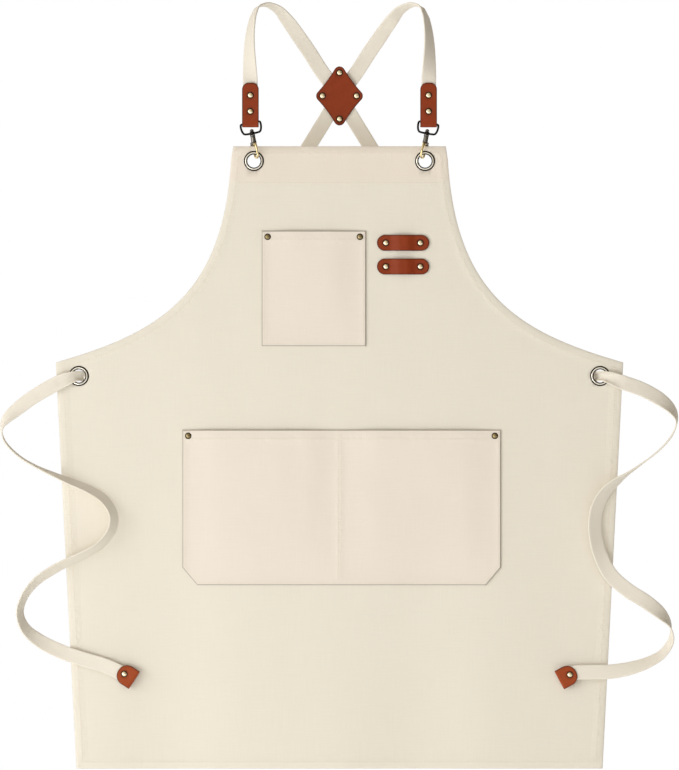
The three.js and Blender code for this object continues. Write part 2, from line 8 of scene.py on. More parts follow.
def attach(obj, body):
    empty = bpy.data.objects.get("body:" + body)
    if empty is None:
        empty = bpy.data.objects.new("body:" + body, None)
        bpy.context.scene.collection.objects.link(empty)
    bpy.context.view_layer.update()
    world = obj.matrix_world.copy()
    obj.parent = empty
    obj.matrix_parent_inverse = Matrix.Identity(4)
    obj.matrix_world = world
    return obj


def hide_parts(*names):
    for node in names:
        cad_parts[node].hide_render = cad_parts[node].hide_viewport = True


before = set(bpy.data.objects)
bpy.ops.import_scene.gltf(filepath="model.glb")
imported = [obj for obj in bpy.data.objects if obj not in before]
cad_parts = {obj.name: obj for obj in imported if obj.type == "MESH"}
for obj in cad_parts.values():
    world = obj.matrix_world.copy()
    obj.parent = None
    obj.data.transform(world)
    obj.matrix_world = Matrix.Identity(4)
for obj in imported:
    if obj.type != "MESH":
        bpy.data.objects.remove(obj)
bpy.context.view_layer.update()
mm = 0.001

# Camera and stage

view = {"distance": 10.0, "height": -0.4575, "tall": 0.9394}
camera = bpy.data.objects.new("camera", bpy.data.cameras.new("camera"))
bpy.context.scene.collection.objects.link(camera)
camera.location = (0, -view["distance"], view["height"])
camera.rotation_euler = (math.radians(90), 0, 0)
camera.data.sensor_width = 36
camera.data.lens = 36 * view["distance"] / view["tall"]
camera.data.clip_end = 60
bpy.context.scene.camera = camera
bpy.context.scene.view_settings.view_transform = "Standard"


# Small helpers for node materials

def addNode(tree, kind, inputs=None, **settings):
    made = tree.nodes.new(kind)
    for name, value in settings.items():
        setattr(made, name, value)
    for name, value in (inputs or {}).items():
        if isinstance(value, bpy.types.NodeSocket):
            tree.links.new(value, made.inputs[name])
        else:
            made.inputs[name].default_value = value
    return made


def calc(tree, operation, *values, clamp=False):
    inputs = dict(enumerate(values))
    return addNode(tree, "ShaderNodeMath", inputs, operation=operation, use_clamp=clamp).outputs[0]


def blendColour(tree, share, first, second, mode="MIX"):
    made = tree.nodes.new("ShaderNodeMix")
    made.data_type = "RGBA"
    made.blend_type = mode
    for index, value in ((0, share), (6, first), (7, second)):
        if isinstance(value, bpy.types.NodeSocket):
            tree.links.new(value, made.inputs[index])
        else:
            made.inputs[index].default_value = value
    return made.outputs[2]


def grain(tree, vector, scale, detail=2.0, roughness=0.5, stretch=None):
    if stretch:
        vector = addNode(tree, "ShaderNodeMapping", {"Vector": vector, "Scale": stretch}).outputs[0]
    return addNode(tree, "ShaderNodeTexNoise", {
        "Vector": vector, "Scale": scale, "Detail": detail, "Roughness": roughness,
    }).outputs["Fac"]


def bumped(tree, height, distance, strength=1.0, under=None):
    inputs = {"Height": height, "Distance": distance, "Strength": strength}
    if under:
        inputs["Normal"] = under
    return addNode(tree, "ShaderNodeBump", inputs).outputs[0]


def newFinish(name):
    material = bpy.data.materials.new(name)
    material.use_nodes = True
    return material, material.node_tree, material.node_tree.nodes["Principled BSDF"]


def rgb(red, green, blue):
    parts = [c / 255 for c in (red, green, blue)]
    return (*[c / 12.92 if c <= 0.04045 else ((c + 0.055) / 1.055) ** 2.4 for c in parts], 1)


# Plain weave: each thread rises over the next one and sinks under the one after
def wovenHeight(tree, across, along, warpPitch, weftPitch):
    warp = calc(tree, "SINE", calc(tree, "MULTIPLY", across, math.pi / warpPitch))
    weft = calc(tree, "SINE", calc(tree, "MULTIPLY", along, math.pi / weftPitch))
    over = calc(tree, "MULTIPLY", calc(tree, "MULTIPLY", warp, weft), 0.42)
    warpUp = calc(tree, "MULTIPLY", calc(tree, "ABSOLUTE", warp), calc(tree, "ADD", 0.58, over))
    weftUp = calc(tree, "MULTIPLY", calc(tree, "ABSOLUTE", weft), calc(tree, "SUBTRACT", 0.58, over))
    return calc(tree, "MAXIMUM", warpUp, weftUp)


canvasLook = {"thread": 0.62 * mm, "relief": 0.16 * mm, "slubs": 0.5}


def canvasFinish(name, colour, shade, edgeShade):
    material, tree, shader = newFinish(name)
    place = addNode(tree, "ShaderNodeTexCoord").outputs["Object"]
    wander = grain(tree, place, 45, 3)
    split = addNode(tree, "ShaderNodeSeparateXYZ", {"Vector": place})
    drift = calc(tree, "MULTIPLY", calc(tree, "SUBTRACT", wander, 0.5), 0.9 * mm)
    x = calc(tree, "ADD", split.outputs["X"], drift)
    z = calc(tree, "ADD", split.outputs["Z"], drift)
    weave = wovenHeight(tree, x, z, canvasLook["thread"], canvasLook["thread"] * 1.12)
    warpSlub = grain(tree, place, 1, 2, 0.6, (900, 1, 26))
    weftSlub = grain(tree, place, 1, 2, 0.6, (26, 1, 900))
    slub = calc(tree, "MULTIPLY", calc(tree, "ADD", warpSlub, weftSlub), canvasLook["slubs"])
    cloudy = grain(tree, place, 7, 2, 0.5)
    depth = calc(tree, "MULTIPLY_ADD", weave, 0.30, calc(tree, "MULTIPLY", slub, 0.9), clamp=True)
    base = blendColour(tree, depth, shade, colour)
    # painted shade: the edge attribute marks folded rims, darkened as by the thin shadow where the fold meets the cloth
    # under it
    edge = addNode(tree, "ShaderNodeAttribute", attribute_name="edge").outputs["Fac"]
    base = blendColour(tree, calc(tree, "MULTIPLY", edge, edgeShade), base, (*[c * 0.25 for c in shade[:3]], 1))
    lined = addNode(tree, "ShaderNodeAttribute", attribute_name="lined").outputs["Fac"]
    base = blendColour(tree, calc(tree, "MULTIPLY", lined, 0.45), base, rgb(235, 220, 207))
    tone = calc(tree, "MULTIPLY", cloudy, 0.12)
    base = blendColour(tree, tone, base, (*[c * 0.93 for c in colour[:3]], 1))
    tree.links.new(base, shader.inputs["Base Color"])
    height = calc(tree, "MULTIPLY_ADD", slub, 0.2, weave)
    fine = bumped(tree, height, canvasLook["relief"], 0.75)
    seam = addNode(tree, "ShaderNodeAttribute", attribute_name="seam").outputs["Fac"]
    pucker = calc(tree, "MULTIPLY", grain(tree, place, 170, 2, 0.5), seam)
    soft = bumped(tree, pucker, 1.3 * mm, 0.7, fine)
    tree.links.new(soft, shader.inputs["Normal"])
    shader.inputs["Roughness"].default_value = 0.93
    shader.inputs["Specular IOR Level"].default_value = 0.25
    shader.inputs["Sheen Weight"].default_value = 0.12
    shader.inputs["Sheen Roughness"].default_value = 0.5
    return material


def webbingFinish(name, colour, shade):
    material, tree, shader = newFinish(name)
    coords = addNode(tree, "ShaderNodeTexCoord").outputs["UV"]
    split = addNode(tree, "ShaderNodeSeparateXYZ", {"Vector": coords})
    weave = wovenHeight(tree, split.outputs["Y"], split.outputs["X"], 1.0 * mm, 0.82 * mm)
    rib = calc(tree, "ABSOLUTE", calc(tree, "SINE", calc(tree, "MULTIPLY", split.outputs["Y"], math.pi / (1.0 * mm))))
    yarn = grain(tree, coords, 1, 2, 0.6, (60, 1400, 1))
    fibre = grain(tree, coords, 1600, 3, 0.6)
    cloudy = grain(tree, coords, 24, 2, 0.5)
    depth = calc(tree, "MULTIPLY_ADD", weave, 0.55, calc(tree, "MULTIPLY", yarn, 0.55), clamp=True)
    base = blendColour(tree, depth, shade, colour)
    base = blendColour(tree, calc(tree, "MULTIPLY", cloudy, 0.14), base, (*[c * 0.9 for c in colour[:3]], 1))
    tree.links.new(base, shader.inputs["Base Color"])
    height = calc(tree, "MULTIPLY_ADD", rib, 0.35, weave)
    height = calc(tree, "MULTIPLY_ADD", fibre, 0.1, height)
    tree.links.new(bumped(tree, height, 0.2 * mm, 0.5), shader.inputs["Normal"])
    shader.inputs["Roughness"].default_value = 0.88
    shader.inputs["Specular IOR Level"].default_value = 0.25
    shader.inputs["Sheen Weight"].default_value = 0.15
    shader.inputs["Sheen Roughness"].default_value = 0.5
    return material


def threadFinish(name, colour, shade):
    material, tree, shader = newFinish(name)
    place = addNode(tree, "ShaderNodeTexCoord").outputs["Object"]
    twist = grain(tree, place, 2600, 2, 0.5)
    tree.links.new(blendColour(tree, twist, shade, colour), shader.inputs["Base Color"])
    tree.links.new(bumped(tree, twist, 0.1 * mm, 0.6), shader.inputs["Normal"])
    shader.inputs["Roughness"].default_value = 0.72
    shader.inputs["Sheen Weight"].default_value = 0.1
    return material


# Leather: pebbled grain, a mottled dye that is darker toward the burnished edge
def leatherFinish(name, colour, dark, edge):
    material, tree, shader = newFinish(name)
    place = addNode(tree, "ShaderNodeTexCoord").outputs["Object"]
    rim = addNode(tree, "ShaderNodeAttribute", attribute_name="rim").outputs["Fac"]
    pressed = addNode(tree, "ShaderNodeAttribute", attribute_name="pressed").outputs["Fac"]
    mottle = grain(tree, place, 85, 4, 0.6)
    streak = grain(tree, place, 420, 3, 0.6)
    cells = addNode(tree, "ShaderNodeTexVoronoi", {"Vector": place, "Scale": 1050.0},
                    feature="DISTANCE_TO_EDGE").outputs["Distance"]
    pores = calc(tree, "MULTIPLY", cells, 2.2, clamp=True)
    mix = calc(tree, "MULTIPLY_ADD", mottle, 0.75, calc(tree, "MULTIPLY", streak, 0.35), clamp=True)
    base = blendColour(tree, mix, colour, dark)
    base = blendColour(tree, calc(tree, "SUBTRACT", 0.34, calc(tree, "MULTIPLY", pores, 0.34)), base, edge)
    base = blendColour(tree, calc(tree, "MULTIPLY", pressed, 0.45), base, edge)
    base = blendColour(tree, calc(tree, "MULTIPLY", rim, 0.9), base, edge)
    tree.links.new(base, shader.inputs["Base Color"])
    rough = calc(tree, "MULTIPLY_ADD", mottle, 0.22, 0.38)
    tree.links.new(rough, shader.inputs["Roughness"])
    height = calc(tree, "MULTIPLY_ADD", streak, 0.8, calc(tree, "MULTIPLY", pores, 0.5))
    tree.links.new(bumped(tree, height, 0.2 * mm, 0.8), shader.inputs["Normal"])
    shader.inputs["Specular IOR Level"].default_value = 0.22
    return material


# Plated or solid metal: painted shade with some patina in its grooves, round its shaded rims and on its undersides,
# fine scratches and a cloudy patina on the rest
def metalFinish(name, colour, shadeAndPatinaColour, roughness, worn=0.35):
    material, tree, shader = newFinish(name)
    place = addNode(tree, "ShaderNodeTexCoord").outputs["Object"]
    shade_and_patina = addNode(tree, "ShaderNodeAttribute", attribute_name="shade_and_patina").outputs["Fac"]
    cloud = grain(tree, place, 420, 4, 0.65)
    scratch = grain(tree, place, 1, 3, 0.6, (700, 5200, 2600))
    age = calc(tree, "MULTIPLY", calc(tree, "SUBTRACT", cloud, 0.42), worn * 4, clamp=True)
    # painted shade: the shade_and_patina attribute darkens grooves, rims, barrels and undersides as if shadowed,
    # together with their patina; the clouds are patina
    shadeAndPatinaShare = calc(tree, "MAXIMUM", shade_and_patina, calc(tree, "MULTIPLY", age, worn))
    tree.links.new(blendColour(tree, shadeAndPatinaShare, colour, shadeAndPatinaColour), shader.inputs["Base Color"])
    rough = calc(tree, "MULTIPLY_ADD", shadeAndPatinaShare, 0.3, calc(tree, "MULTIPLY_ADD", scratch, 0.16, roughness - 0.08))
    tree.links.new(rough, shader.inputs["Roughness"])
    tree.links.new(bumped(tree, scratch, 0.02 * mm, 0.35), shader.inputs["Normal"])
    shader.inputs["Metallic"].default_value = 1.0
    return material


finishes = {
    # each canvas finish ends with the strength of its painted edge shade
    "canvas": canvasFinish("canvas", rgb(237, 232, 219), rgb(224, 217, 202), 0.3),
    "pocketCanvas": canvasFinish("pocket_canvas", rgb(239, 231, 220), rgb(226, 216, 203), 0.62),
    "webbing": webbingFinish("webbing", rgb(241, 237, 229), rgb(221, 211, 189)),
    "thread": threadFinish("thread", rgb(241, 232, 213), rgb(214, 202, 180)),
    "leather": leatherFinish("leather", rgb(166, 68, 18), rgb(140, 49, 11), rgb(60, 19, 8)),
    "tipLeather": leatherFinish("tip_leather", rgb(184, 84, 34), rgb(160, 66, 22), rgb(76, 27, 11)),
    "brass": metalFinish("rivet_brass", rgb(244, 230, 194), rgb(24, 15, 9), 0.18, 0.2),
    "darkBrass": metalFinish("aged_brass", rgb(160, 143, 104), rgb(24, 20, 14), 0.26, 0.6),
    "eyelet": metalFinish("eyelet", rgb(246, 241, 228), rgb(12, 10, 8), 0.2, 0.08),
    "gunmetal": metalFinish("gunmetal", rgb(122, 118, 112), rgb(10, 9, 8), 0.2, 0.4),
    "blackWire": metalFinish("black_wire", rgb(38, 36, 35), rgb(10, 9, 8), 0.24, 0.3),
    "gilt": metalFinish("gilt", rgb(232, 212, 160), rgb(70, 52, 24), 0.2, 0.3),
}


def finishPiece(name, bm, finish, body, replaced=(), smooth=True):
    mesh = bpy.data.meshes.new(name)
    bm.to_mesh(mesh)
    bm.free()
    mesh.polygons.foreach_set("use_smooth", [smooth] * len(mesh.polygons))
    mesh.materials.append(finishes[finish])
    piece = bpy.data.objects.new(name, mesh)
    bpy.context.scene.collection.objects.link(piece)
    if replaced:
        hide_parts(*replaced)
    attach(piece, body)
    return piece


def smoothStep(value, low, high):
    share = min(max((value - low) / (high - low), 0), 1)
    return share * share * (3 - 2 * share)


# Shortest distance from each of many points to a line of straight pieces
def distancesTo(points, line):
    corners = numpy.array([tuple(p) for p in line], float)
    best = numpy.full(len(points), 1e9)
    for start, side in zip(corners[:-1], corners[1:] - corners[:-1]):
        share = numpy.clip((points - start) @ side / max(side @ side, 1e-9), 0, 1)
        gap = points - start - share[:, None] * side
        best = numpy.minimum(best, numpy.hypot(gap[:, 0], gap[:, 1]))
    return best


# Body cloth, in millimetres until a vertex is placed

cloth = {
    "thickness": 0.8, "fold": 0.45, "hem": 9.5, "stitchIn": 7.6,
    "bibTop": -167, "bibTopHalf": 129, "bibSide": -183, "bibHalf": 131.5,
    "armhole": [(141.4, -346.5), (216.3, -393.8)],
    "waistHalf": 345.4, "waist": -430.5, "hemHalf": 320.3, "bottom": -924.8,
}
eyelets = {"bibX": 104.4, "bibZ": -184.2, "waistX": 318, "waistZ": -446.5, "hole": 8.9}
eyeletPlaces = {
    "bib_left": (-eyelets["bibX"], eyelets["bibZ"]), "bib_right": (eyelets["bibX"], eyelets["bibZ"]),
    "waist_left": (-eyelets["waistX"], eyelets["waistZ"]), "waist_right": (eyelets["waistX"], eyelets["waistZ"]),
}


# How far the hanging cloth stands back from its flat plane
def drape(x, z):
    fall = smoothStep(-z, 400, 930)
    wave = 1.5 + math.sin(x / 47 + 0.9 + z / 700) + 0.5 * math.sin(x / 24.5 + 2.1 - z / 500)
    skirt = 1.5 * fall * wave
    crumple = 0.55 * noise.noise(Vector((x / 62, 0.3, z / 105))) + 0.22 * noise.noise(Vector((x / 23, 5.1, z / 34)))
    calm = 1.0
    for eyeX, eyeZ in eyeletPlaces.values():
        calm *= smoothStep(math.hypot(x - eyeX, z - eyeZ), 13, 60)
    side = 1 - 0.55 * smoothStep(abs(x), 250, 300)
    return (skirt + (0.45 + crumple) * side) * calm


def bezier(start, first, second, end, t):
    back = 1 - t
    weights = (back ** 3, 3 * back * back * t, 3 * back * t * t, t ** 3)
    return tuple(sum(w * p[i] for w, p in zip(weights, (start, first, second, end))) for i in range(2))


def dense(start, end, step):
    count = max(2, round(math.dist(start, end) / step))
    return [tuple(a + (b - a) * i / count for a, b in zip(start, end)) for i in range(count)]


# One side of a cut, from its top edge to its bottom edge, and the same line moved in by the hem
def sideLines(stretches, hem):
    points = [p for stretch in stretches for p in stretch]
    corners, at = [], 0
    for stretch in stretches[:-1]:
        at += len(stretch)
        corners.append(at)

    def heading(a, b):
        return Vector((points[b][0] - points[a][0], points[b][1] - points[a][1])).normalized()

    inner = []
    for i, point in enumerate(points):
        last = len(points) - 1
        before = heading(i - 1, i) if i else heading(0, 1)
        after = heading(i, i + 1) if i < last else heading(last - 1, last)
        along = (before + after).normalized()
        inward = Vector((along.y, -along.x))
        if i in (0, last):
            inner.append(Vector((point[0] - hem, point[1])))
            continue
        reach = hem / max(0.3, before.dot(after) * 0.5 + 0.5) ** 0.5
        moved = Vector(point) + inward * (reach if i in corners else hem)
        for corner in corners:
            if i == corner:
                continue
            a, b = heading(corner - 1, corner), heading(corner, corner + 1)
            turn = math.atan2(a.x * b.y - a.y * b.x, a.dot(b))
            if turn > -0.2:
                continue
            slide = hem * math.tan(abs(turn) / 2)
            gone = math.dist(point, points[corner])
            share = max(0, 1 - gone / (hem * 3.2))
            moved += along * slide * share * (1 if i > corner else -1)
        inner.append(moved)
    return [Vector(p) for p in points], inner


def foldOver(past, radius):
    turn = math.pi * radius
    if past <= 0:
        return past, 0.0
    if past < turn:
        return radius * math.sin(past / radius), radius * (1 - math.cos(past / radius))
    return turn - past, 2 * radius


# Round holes in a gridded sheet: points near a hole's edge are moved onto it
def cutHoles(bm, holes, reach):
    for holeX, holeZ, hole in holes:
        for vert in bm.verts:
            away = Vector((vert.co.x - holeX, vert.co.z - holeZ))
            if abs(away.length - hole) < reach:
                away = away.normalized() * hole
                vert.co.x, vert.co.z = holeX + away.x, holeZ + away.y
        middles = [(face, face.calc_center_median()) for face in bm.faces]
        inside = [face for face, at in middles if math.hypot(at.x - holeX, at.z - holeZ) < hole * 0.97]
        bmesh.ops.delete(bm, geom=inside, context="FACES")


def layOut(bm, relief, seams):
    seamLayer = bm.verts.layers.float.new("seam")
    if seams:
        flat = numpy.array([(v.co.x, v.co.z) for v in bm.verts])
        for vert, value in zip(bm.verts, seams(flat[:, 0], flat[:, 1])):
            vert[seamLayer] = value
    for vert in bm.verts:
        vert.co.y += relief(vert.co.x, vert.co.z)
    bmesh.ops.scale(bm, vec=(mm, mm, mm), verts=bm.verts)


# A sheet whose four edges are folded behind it: right and left are (outer, inner) lines from top to bottom
def hemmedSheet(right, left, hem, columns, y, relief, holes=(), seams=None, topHem=None, linedTo=None, crisp=False):
    radius = cloth["fold"]
    turn = math.pi * radius
    topHem = topHem or hem
    past = [turn + hem, turn + hem * 0.5, turn, turn * 0.66, turn * 0.33]
    rightOut, rightIn = right
    leftOut, leftIn = left
    rows = []

    def lineAt(z):  # outer and inner points where the near-straight ends of the sides pass height z
        found = []
        for line in (leftOut, leftIn, rightIn, rightOut):
            for a, b in zip(line, line[1:]):
                if a.y >= z >= b.y:
                    break
            else:
                a, b = (line[0], line[1]) if z > line[0].y else (line[-2], line[-1])
            found.append(a.lerp(b, (a.y - z) / (a.y - b.y)))
        return found

    top, bottom = rightOut[0].y, rightOut[-1].y
    for e in [turn + topHem, turn + topHem * 0.5, *past[2:]]:
        out, depth = foldOver(e, radius)
        ends = lineAt(min(top, top + out))
        rows.append(([p + Vector((0, max(0, out))) for p in ends], depth))
    for leftA, leftB, rightB, rightA in zip(leftOut, leftIn, rightIn, rightOut):
        rows.append(([leftA, leftB, rightB, rightA], 0))
    for e in reversed(past):
        out, depth = foldOver(e, radius)
        ends = lineAt(max(bottom, bottom - out))
        rows.append(([p - Vector((0, max(0, out))) for p in ends], depth))

    margin = [0.0, 0.1, 0.35, 0.7] if crisp else [0.0, 0.35, 0.7]
    stations = [("foldLeft", e) for e in past] + [("left", s) for s in margin]
    stations += [("middle", i / columns) for i in range(columns + 1)]
    stations += [("right", s) for s in reversed(margin)] + [("foldRight", e) for e in reversed(past)]

    bm = bmesh.new()
    bmesh.ops.create_grid(bm, x_segments=len(stations) - 1, y_segments=len(rows) - 1, size=1)
    edgeShadeLayer = bm.verts.layers.float.new("edge")
    for vert in bm.verts:
        column = round((vert.co.x + 1) / 2 * (len(stations) - 1))
        row = round((1 - vert.co.y) / 2 * (len(rows) - 1))
        (leftA, leftB, rightB, rightA), depth = rows[row]
        kind, share = stations[column]
        if kind.startswith("fold"):
            outer, inner = (leftA, leftB) if kind == "foldLeft" else (rightA, rightB)
            out, behind = foldOver(share, radius)
            place = outer.lerp(inner, -out / hem)
            depth += behind
        elif kind == "left":
            place = leftA.lerp(leftB, share)
        elif kind == "right":
            place = rightA.lerp(rightB, share)
        else:
            place = leftB.lerp(rightB, share)
        vert.co = (place.x, y + depth, place.y)
        # painted shade on the folds and, for crisp sheets, on the outline rows: a thin dark rim line standing for the
        # contact shadow
        onRim = crisp and (row in (5, 4 + len(rightOut)) or kind in ("left", "right") and share == 0)
        vert[edgeShadeLayer] = 1.0 if depth > 1e-6 or onRim else 0.0
    linedLayer = bm.verts.layers.float.new("lined")
    for vert in bm.verts:
        vert[linedLayer] = 1.0 if linedTo is not None and vert.co.z > linedTo else 0.0
    cutHoles(bm, holes, 3.1)
    layOut(bm, relief, seams)
    return bm


def mirrorLines(lines):
    return tuple([Vector((-p.x, p.y)) for p in line] for line in lines)


def clothPiece(name, bm, finish, replaced):
    piece = finishPiece(name, bm, finish, "apron", replaced)
    thick = piece.modifiers.new("cloth", "SOLIDIFY")
    thick.thickness = cloth["thickness"] * mm
    thick.offset = 0
    return piece


# Stitches: a row of small thread beads along a line, half sunk in the cloth
stitch = {"pitch": 3.3, "length": 2.7, "wide": 0.62, "high": 0.5}


def stitchLine(bm, line, level):
    run = 0
    for start, end in zip(line, line[1:]):
        start, end = Vector(start), Vector(end)
        length = (end - start).length
        if length < 1e-6:
            continue
        along = (end - start) / length
        at = stitch["pitch"] / 2 - run
        while at < length:
            x, z = start + along * at
            turn = Matrix(((along.x, 0, -along.y, 0), (0, 1, 0, 0), (along.y, 0, along.x, 0), (0, 0, 0, 1)))
            size = Matrix.Diagonal((stitch["length"] * mm, stitch["high"] * mm, stitch["wide"] * mm, 1))
            place = Matrix.Translation((x * mm, level(x, z) * mm, z * mm))
            bmesh.ops.create_uvsphere(bm, u_segments=6, v_segments=4, radius=0.5, matrix=place @ turn @ size)
            at += stitch["pitch"]
        run = length - (at - stitch["pitch"]) - stitch["pitch"] / 2
        run = max(-stitch["pitch"] / 2, run)


def stitches(name, lines, level):
    bm = bmesh.new()
    for line in lines:
        for at in range(0, len(line) - 1, 8):
            part = bmesh.new()
            stitchLine(part, line[at:at + 9], level)
            run = bpy.data.meshes.new("run")
            part.to_mesh(run)
            part.free()
            bm.from_mesh(run)
            bpy.data.meshes.remove(run)
    return finishPiece(name, bm, "thread", "apron")


halfCloth = cloth["thickness"] / 2
panelLine = halfCloth
bibTopRight = (cloth["bibTopHalf"], cloth["bibTop"])
bibSideRight = (cloth["bibHalf"], cloth["bibSide"])
waistRight = (cloth["waistHalf"], cloth["waist"])
hemRight = (cloth["hemHalf"], cloth["bottom"])


def armholeCurve(steps):
    return [bezier(bibSideRight, *cloth["armhole"], waistRight, i / steps) for i in range(steps)]


def panelSide(hem):
    return sideLines([
        dense(bibTopRight, bibSideRight, 5), armholeCurve(46),
        [*dense(waistRight, hemRight, 6.2), hemRight],
    ], hem)


panelRight = panelSide(cloth["hem"])
stitchRight = panelSide(cloth["stitchIn"])[1]
stitchTop = cloth["bibTop"] - cloth["stitchIn"]
stitchBottom = cloth["bottom"] + cloth["stitchIn"]
hemSeam = [p for p in stitchRight if stitchTop >= p.y >= stitchBottom]
hemSeam = [Vector((hemSeam[0].x, stitchTop)), *hemSeam, Vector((hemSeam[-1].x, stitchBottom))]
facingSeam = cloth["bibTop"] - 43.5


def panelSeams(x, z):
    near = distancesTo(numpy.stack([abs(x), z], 1), hemSeam)
    for level in (facingSeam, stitchTop, stitchBottom):
        near = numpy.minimum(near, abs(z - level))
    return numpy.exp(-(near / 4.5) ** 2)


panelBm = hemmedSheet(
    panelRight, mirrorLines(panelRight), cloth["hem"], 118, panelLine, drape,
    [(x, z, eyelets["hole"]) for x, z in eyeletPlaces.values()], panelSeams, linedTo=facingSeam,
)
panel = clothPiece("apron_panel", panelBm, "canvas", ["panel"])
print("panel", len(panel.data.polygons))


def bothSides(line):
    return [line, [Vector((-p.x, p.y)) for p in line]]


def crossLine(z, half, step=12):
    return [Vector(p) for p in [*dense((-half, z), (half, z), step), (half, z)]]


hemLines = [*bothSides(hemSeam), crossLine(stitchTop, hemSeam[0].x - 2), crossLine(stitchBottom, hemSeam[-1].x - 2)]
frontStitches = stitches("hem_stitches_front", [*hemLines, crossLine(facingSeam, 124)],
                         lambda x, z: panelLine - halfCloth - 0.02 + drape(x, z))
backStitches = stitches("hem_stitches_back", hemLines,
                        lambda x, z: panelLine + halfCloth + 2 * cloth["fold"] + 0.02 + drape(x, z)
                        + (0.9 if abs(z) > 915 and abs(x) > 300 else 0))

facing = {"y": 2.25, "height": 46, "hem": 8}
facingTop = cloth["bibTop"] - 1.0


# A band with plain ends, its lower edge turned in toward the cloth it lies on
def turnedBand(half, top, height, hem, y, relief, holes, seams):
    radius = cloth["fold"]
    turn = math.pi * radius
    downs = [height * i / 20 for i in range(21)]
    downs += [height + past for past in (turn * 0.33, turn * 0.66, turn, turn + hem * 0.5, turn + hem)]
    bm = bmesh.new()
    bmesh.ops.create_grid(bm, x_segments=104, y_segments=len(downs) - 1, size=1)
    edgeShadeLayer = bm.verts.layers.float.new("edge")
    for vert in bm.verts:
        out, depth = foldOver(downs[round((1 - vert.co.y) / 2 * (len(downs) - 1))] - height, radius)
        z = top - height - out
        # painted shade on the turned fold and on the band's ends
        vert[edgeShadeLayer] = 1.0 if depth > 1e-6 or abs(vert.co.x) > 0.999 else 0.0
        vert.co = (vert.co.x * half(z), y - depth, z)
    cutHoles(bm, holes, 1.3)
    layOut(bm, relief, seams)
    return bm


def facingHalf(z):
    share = min(max((cloth["bibTop"] - z) / (cloth["bibTop"] - cloth["bibSide"]), 0), 1)
    return cloth["bibTopHalf"] + (cloth["bibHalf"] - cloth["bibTopHalf"]) * share - 1.2


facingBm = turnedBand(
    facingHalf, facingTop, facing["height"], facing["hem"], facing["y"], drape,
    [(x, z, eyelets["hole"]) for x, z in list(eyeletPlaces.values())[:2]],
    lambda x, z: numpy.exp(-((z - facingSeam) / 4.5) ** 2),
)
bibFacing = clothPiece("bib_band", facingBm, "canvas", ["bib_facing"])
facingStitches = stitches("band_stitches", [crossLine(facingSeam, 124), crossLine(stitchTop, 122)],
                          lambda x, z: facing["y"] + halfCloth + 0.02 + drape(x, z))

# Pockets, sewn down on three sides and slack between the seams

pockets = {
    "chest_pocket": {"left": -94.2, "right": 31.4, "top": -270.2, "bottom": -409.3, "clip": None,
                     "slack": 1.9, "seams": [], "topHem": 11.0},
    "waist_pocket": {"left": -191, "right": 196, "top": -513, "bottom": -700.9, "clip": (17.7, 21),
                     "slack": 2.3, "seams": [0.0], "topHem": 11.5},
}
pocketLook = {"y": -1.55, "hem": 8.0, "stitchIn": 2.4, "secondIn": 8.2}


def pocketFall(pocket):
    def fall(x, z):
        edges = [x - pocket["left"], pocket["right"] - x]
        edges += [abs(x - seam) for seam in pocket["seams"]]
        side = smoothStep(min(edges), 4, 46)
        foot = smoothStep(z - pocket["bottom"], 4, 58)
        mouth = 0.72 + 0.28 * smoothStep(z, pocket["top"] - 90, pocket["top"])
        soft = 0.35 * noise.noise(Vector((x / 31, 9.4, z / 44)))
        return drape(x, z) - pocket["slack"] * side * foot * mouth + soft * side * foot
    return fall


def pocketLines(pocket, hem):
    middle = (pocket["left"] + pocket["right"]) / 2
    half = (pocket["right"] - pocket["left"]) / 2
    top, bottom = pocket["top"], pocket["bottom"]
    if pocket["clip"]:
        clipX, clipZ = pocket["clip"]
        foot = (half - clipX * (1 - 0.8 / clipZ), bottom + 0.8)
        stretches = [[(half, top), *dense((half, top - 0.8), (half, bottom + clipZ), 4.8)],
                     [*dense((half, bottom + clipZ), foot, 3), foot, (half - clipX, bottom)]]
    else:
        side = dense((half, top - 0.8), (half, bottom + 0.8), 4)
        stretches = [[(half, top), *side, (half, bottom + 0.8), (half, bottom)]]
    right = sideLines(stretches, hem)
    if pocket["clip"]:  # keeps the last row but one level, for a rim of even width
        right[1][-2].y = right[0][-2].y
    left = mirrorLines(right)
    move = Vector((middle, 0))
    return tuple([p + move for p in line] for line in right), tuple([p + move for p in line] for line in left)


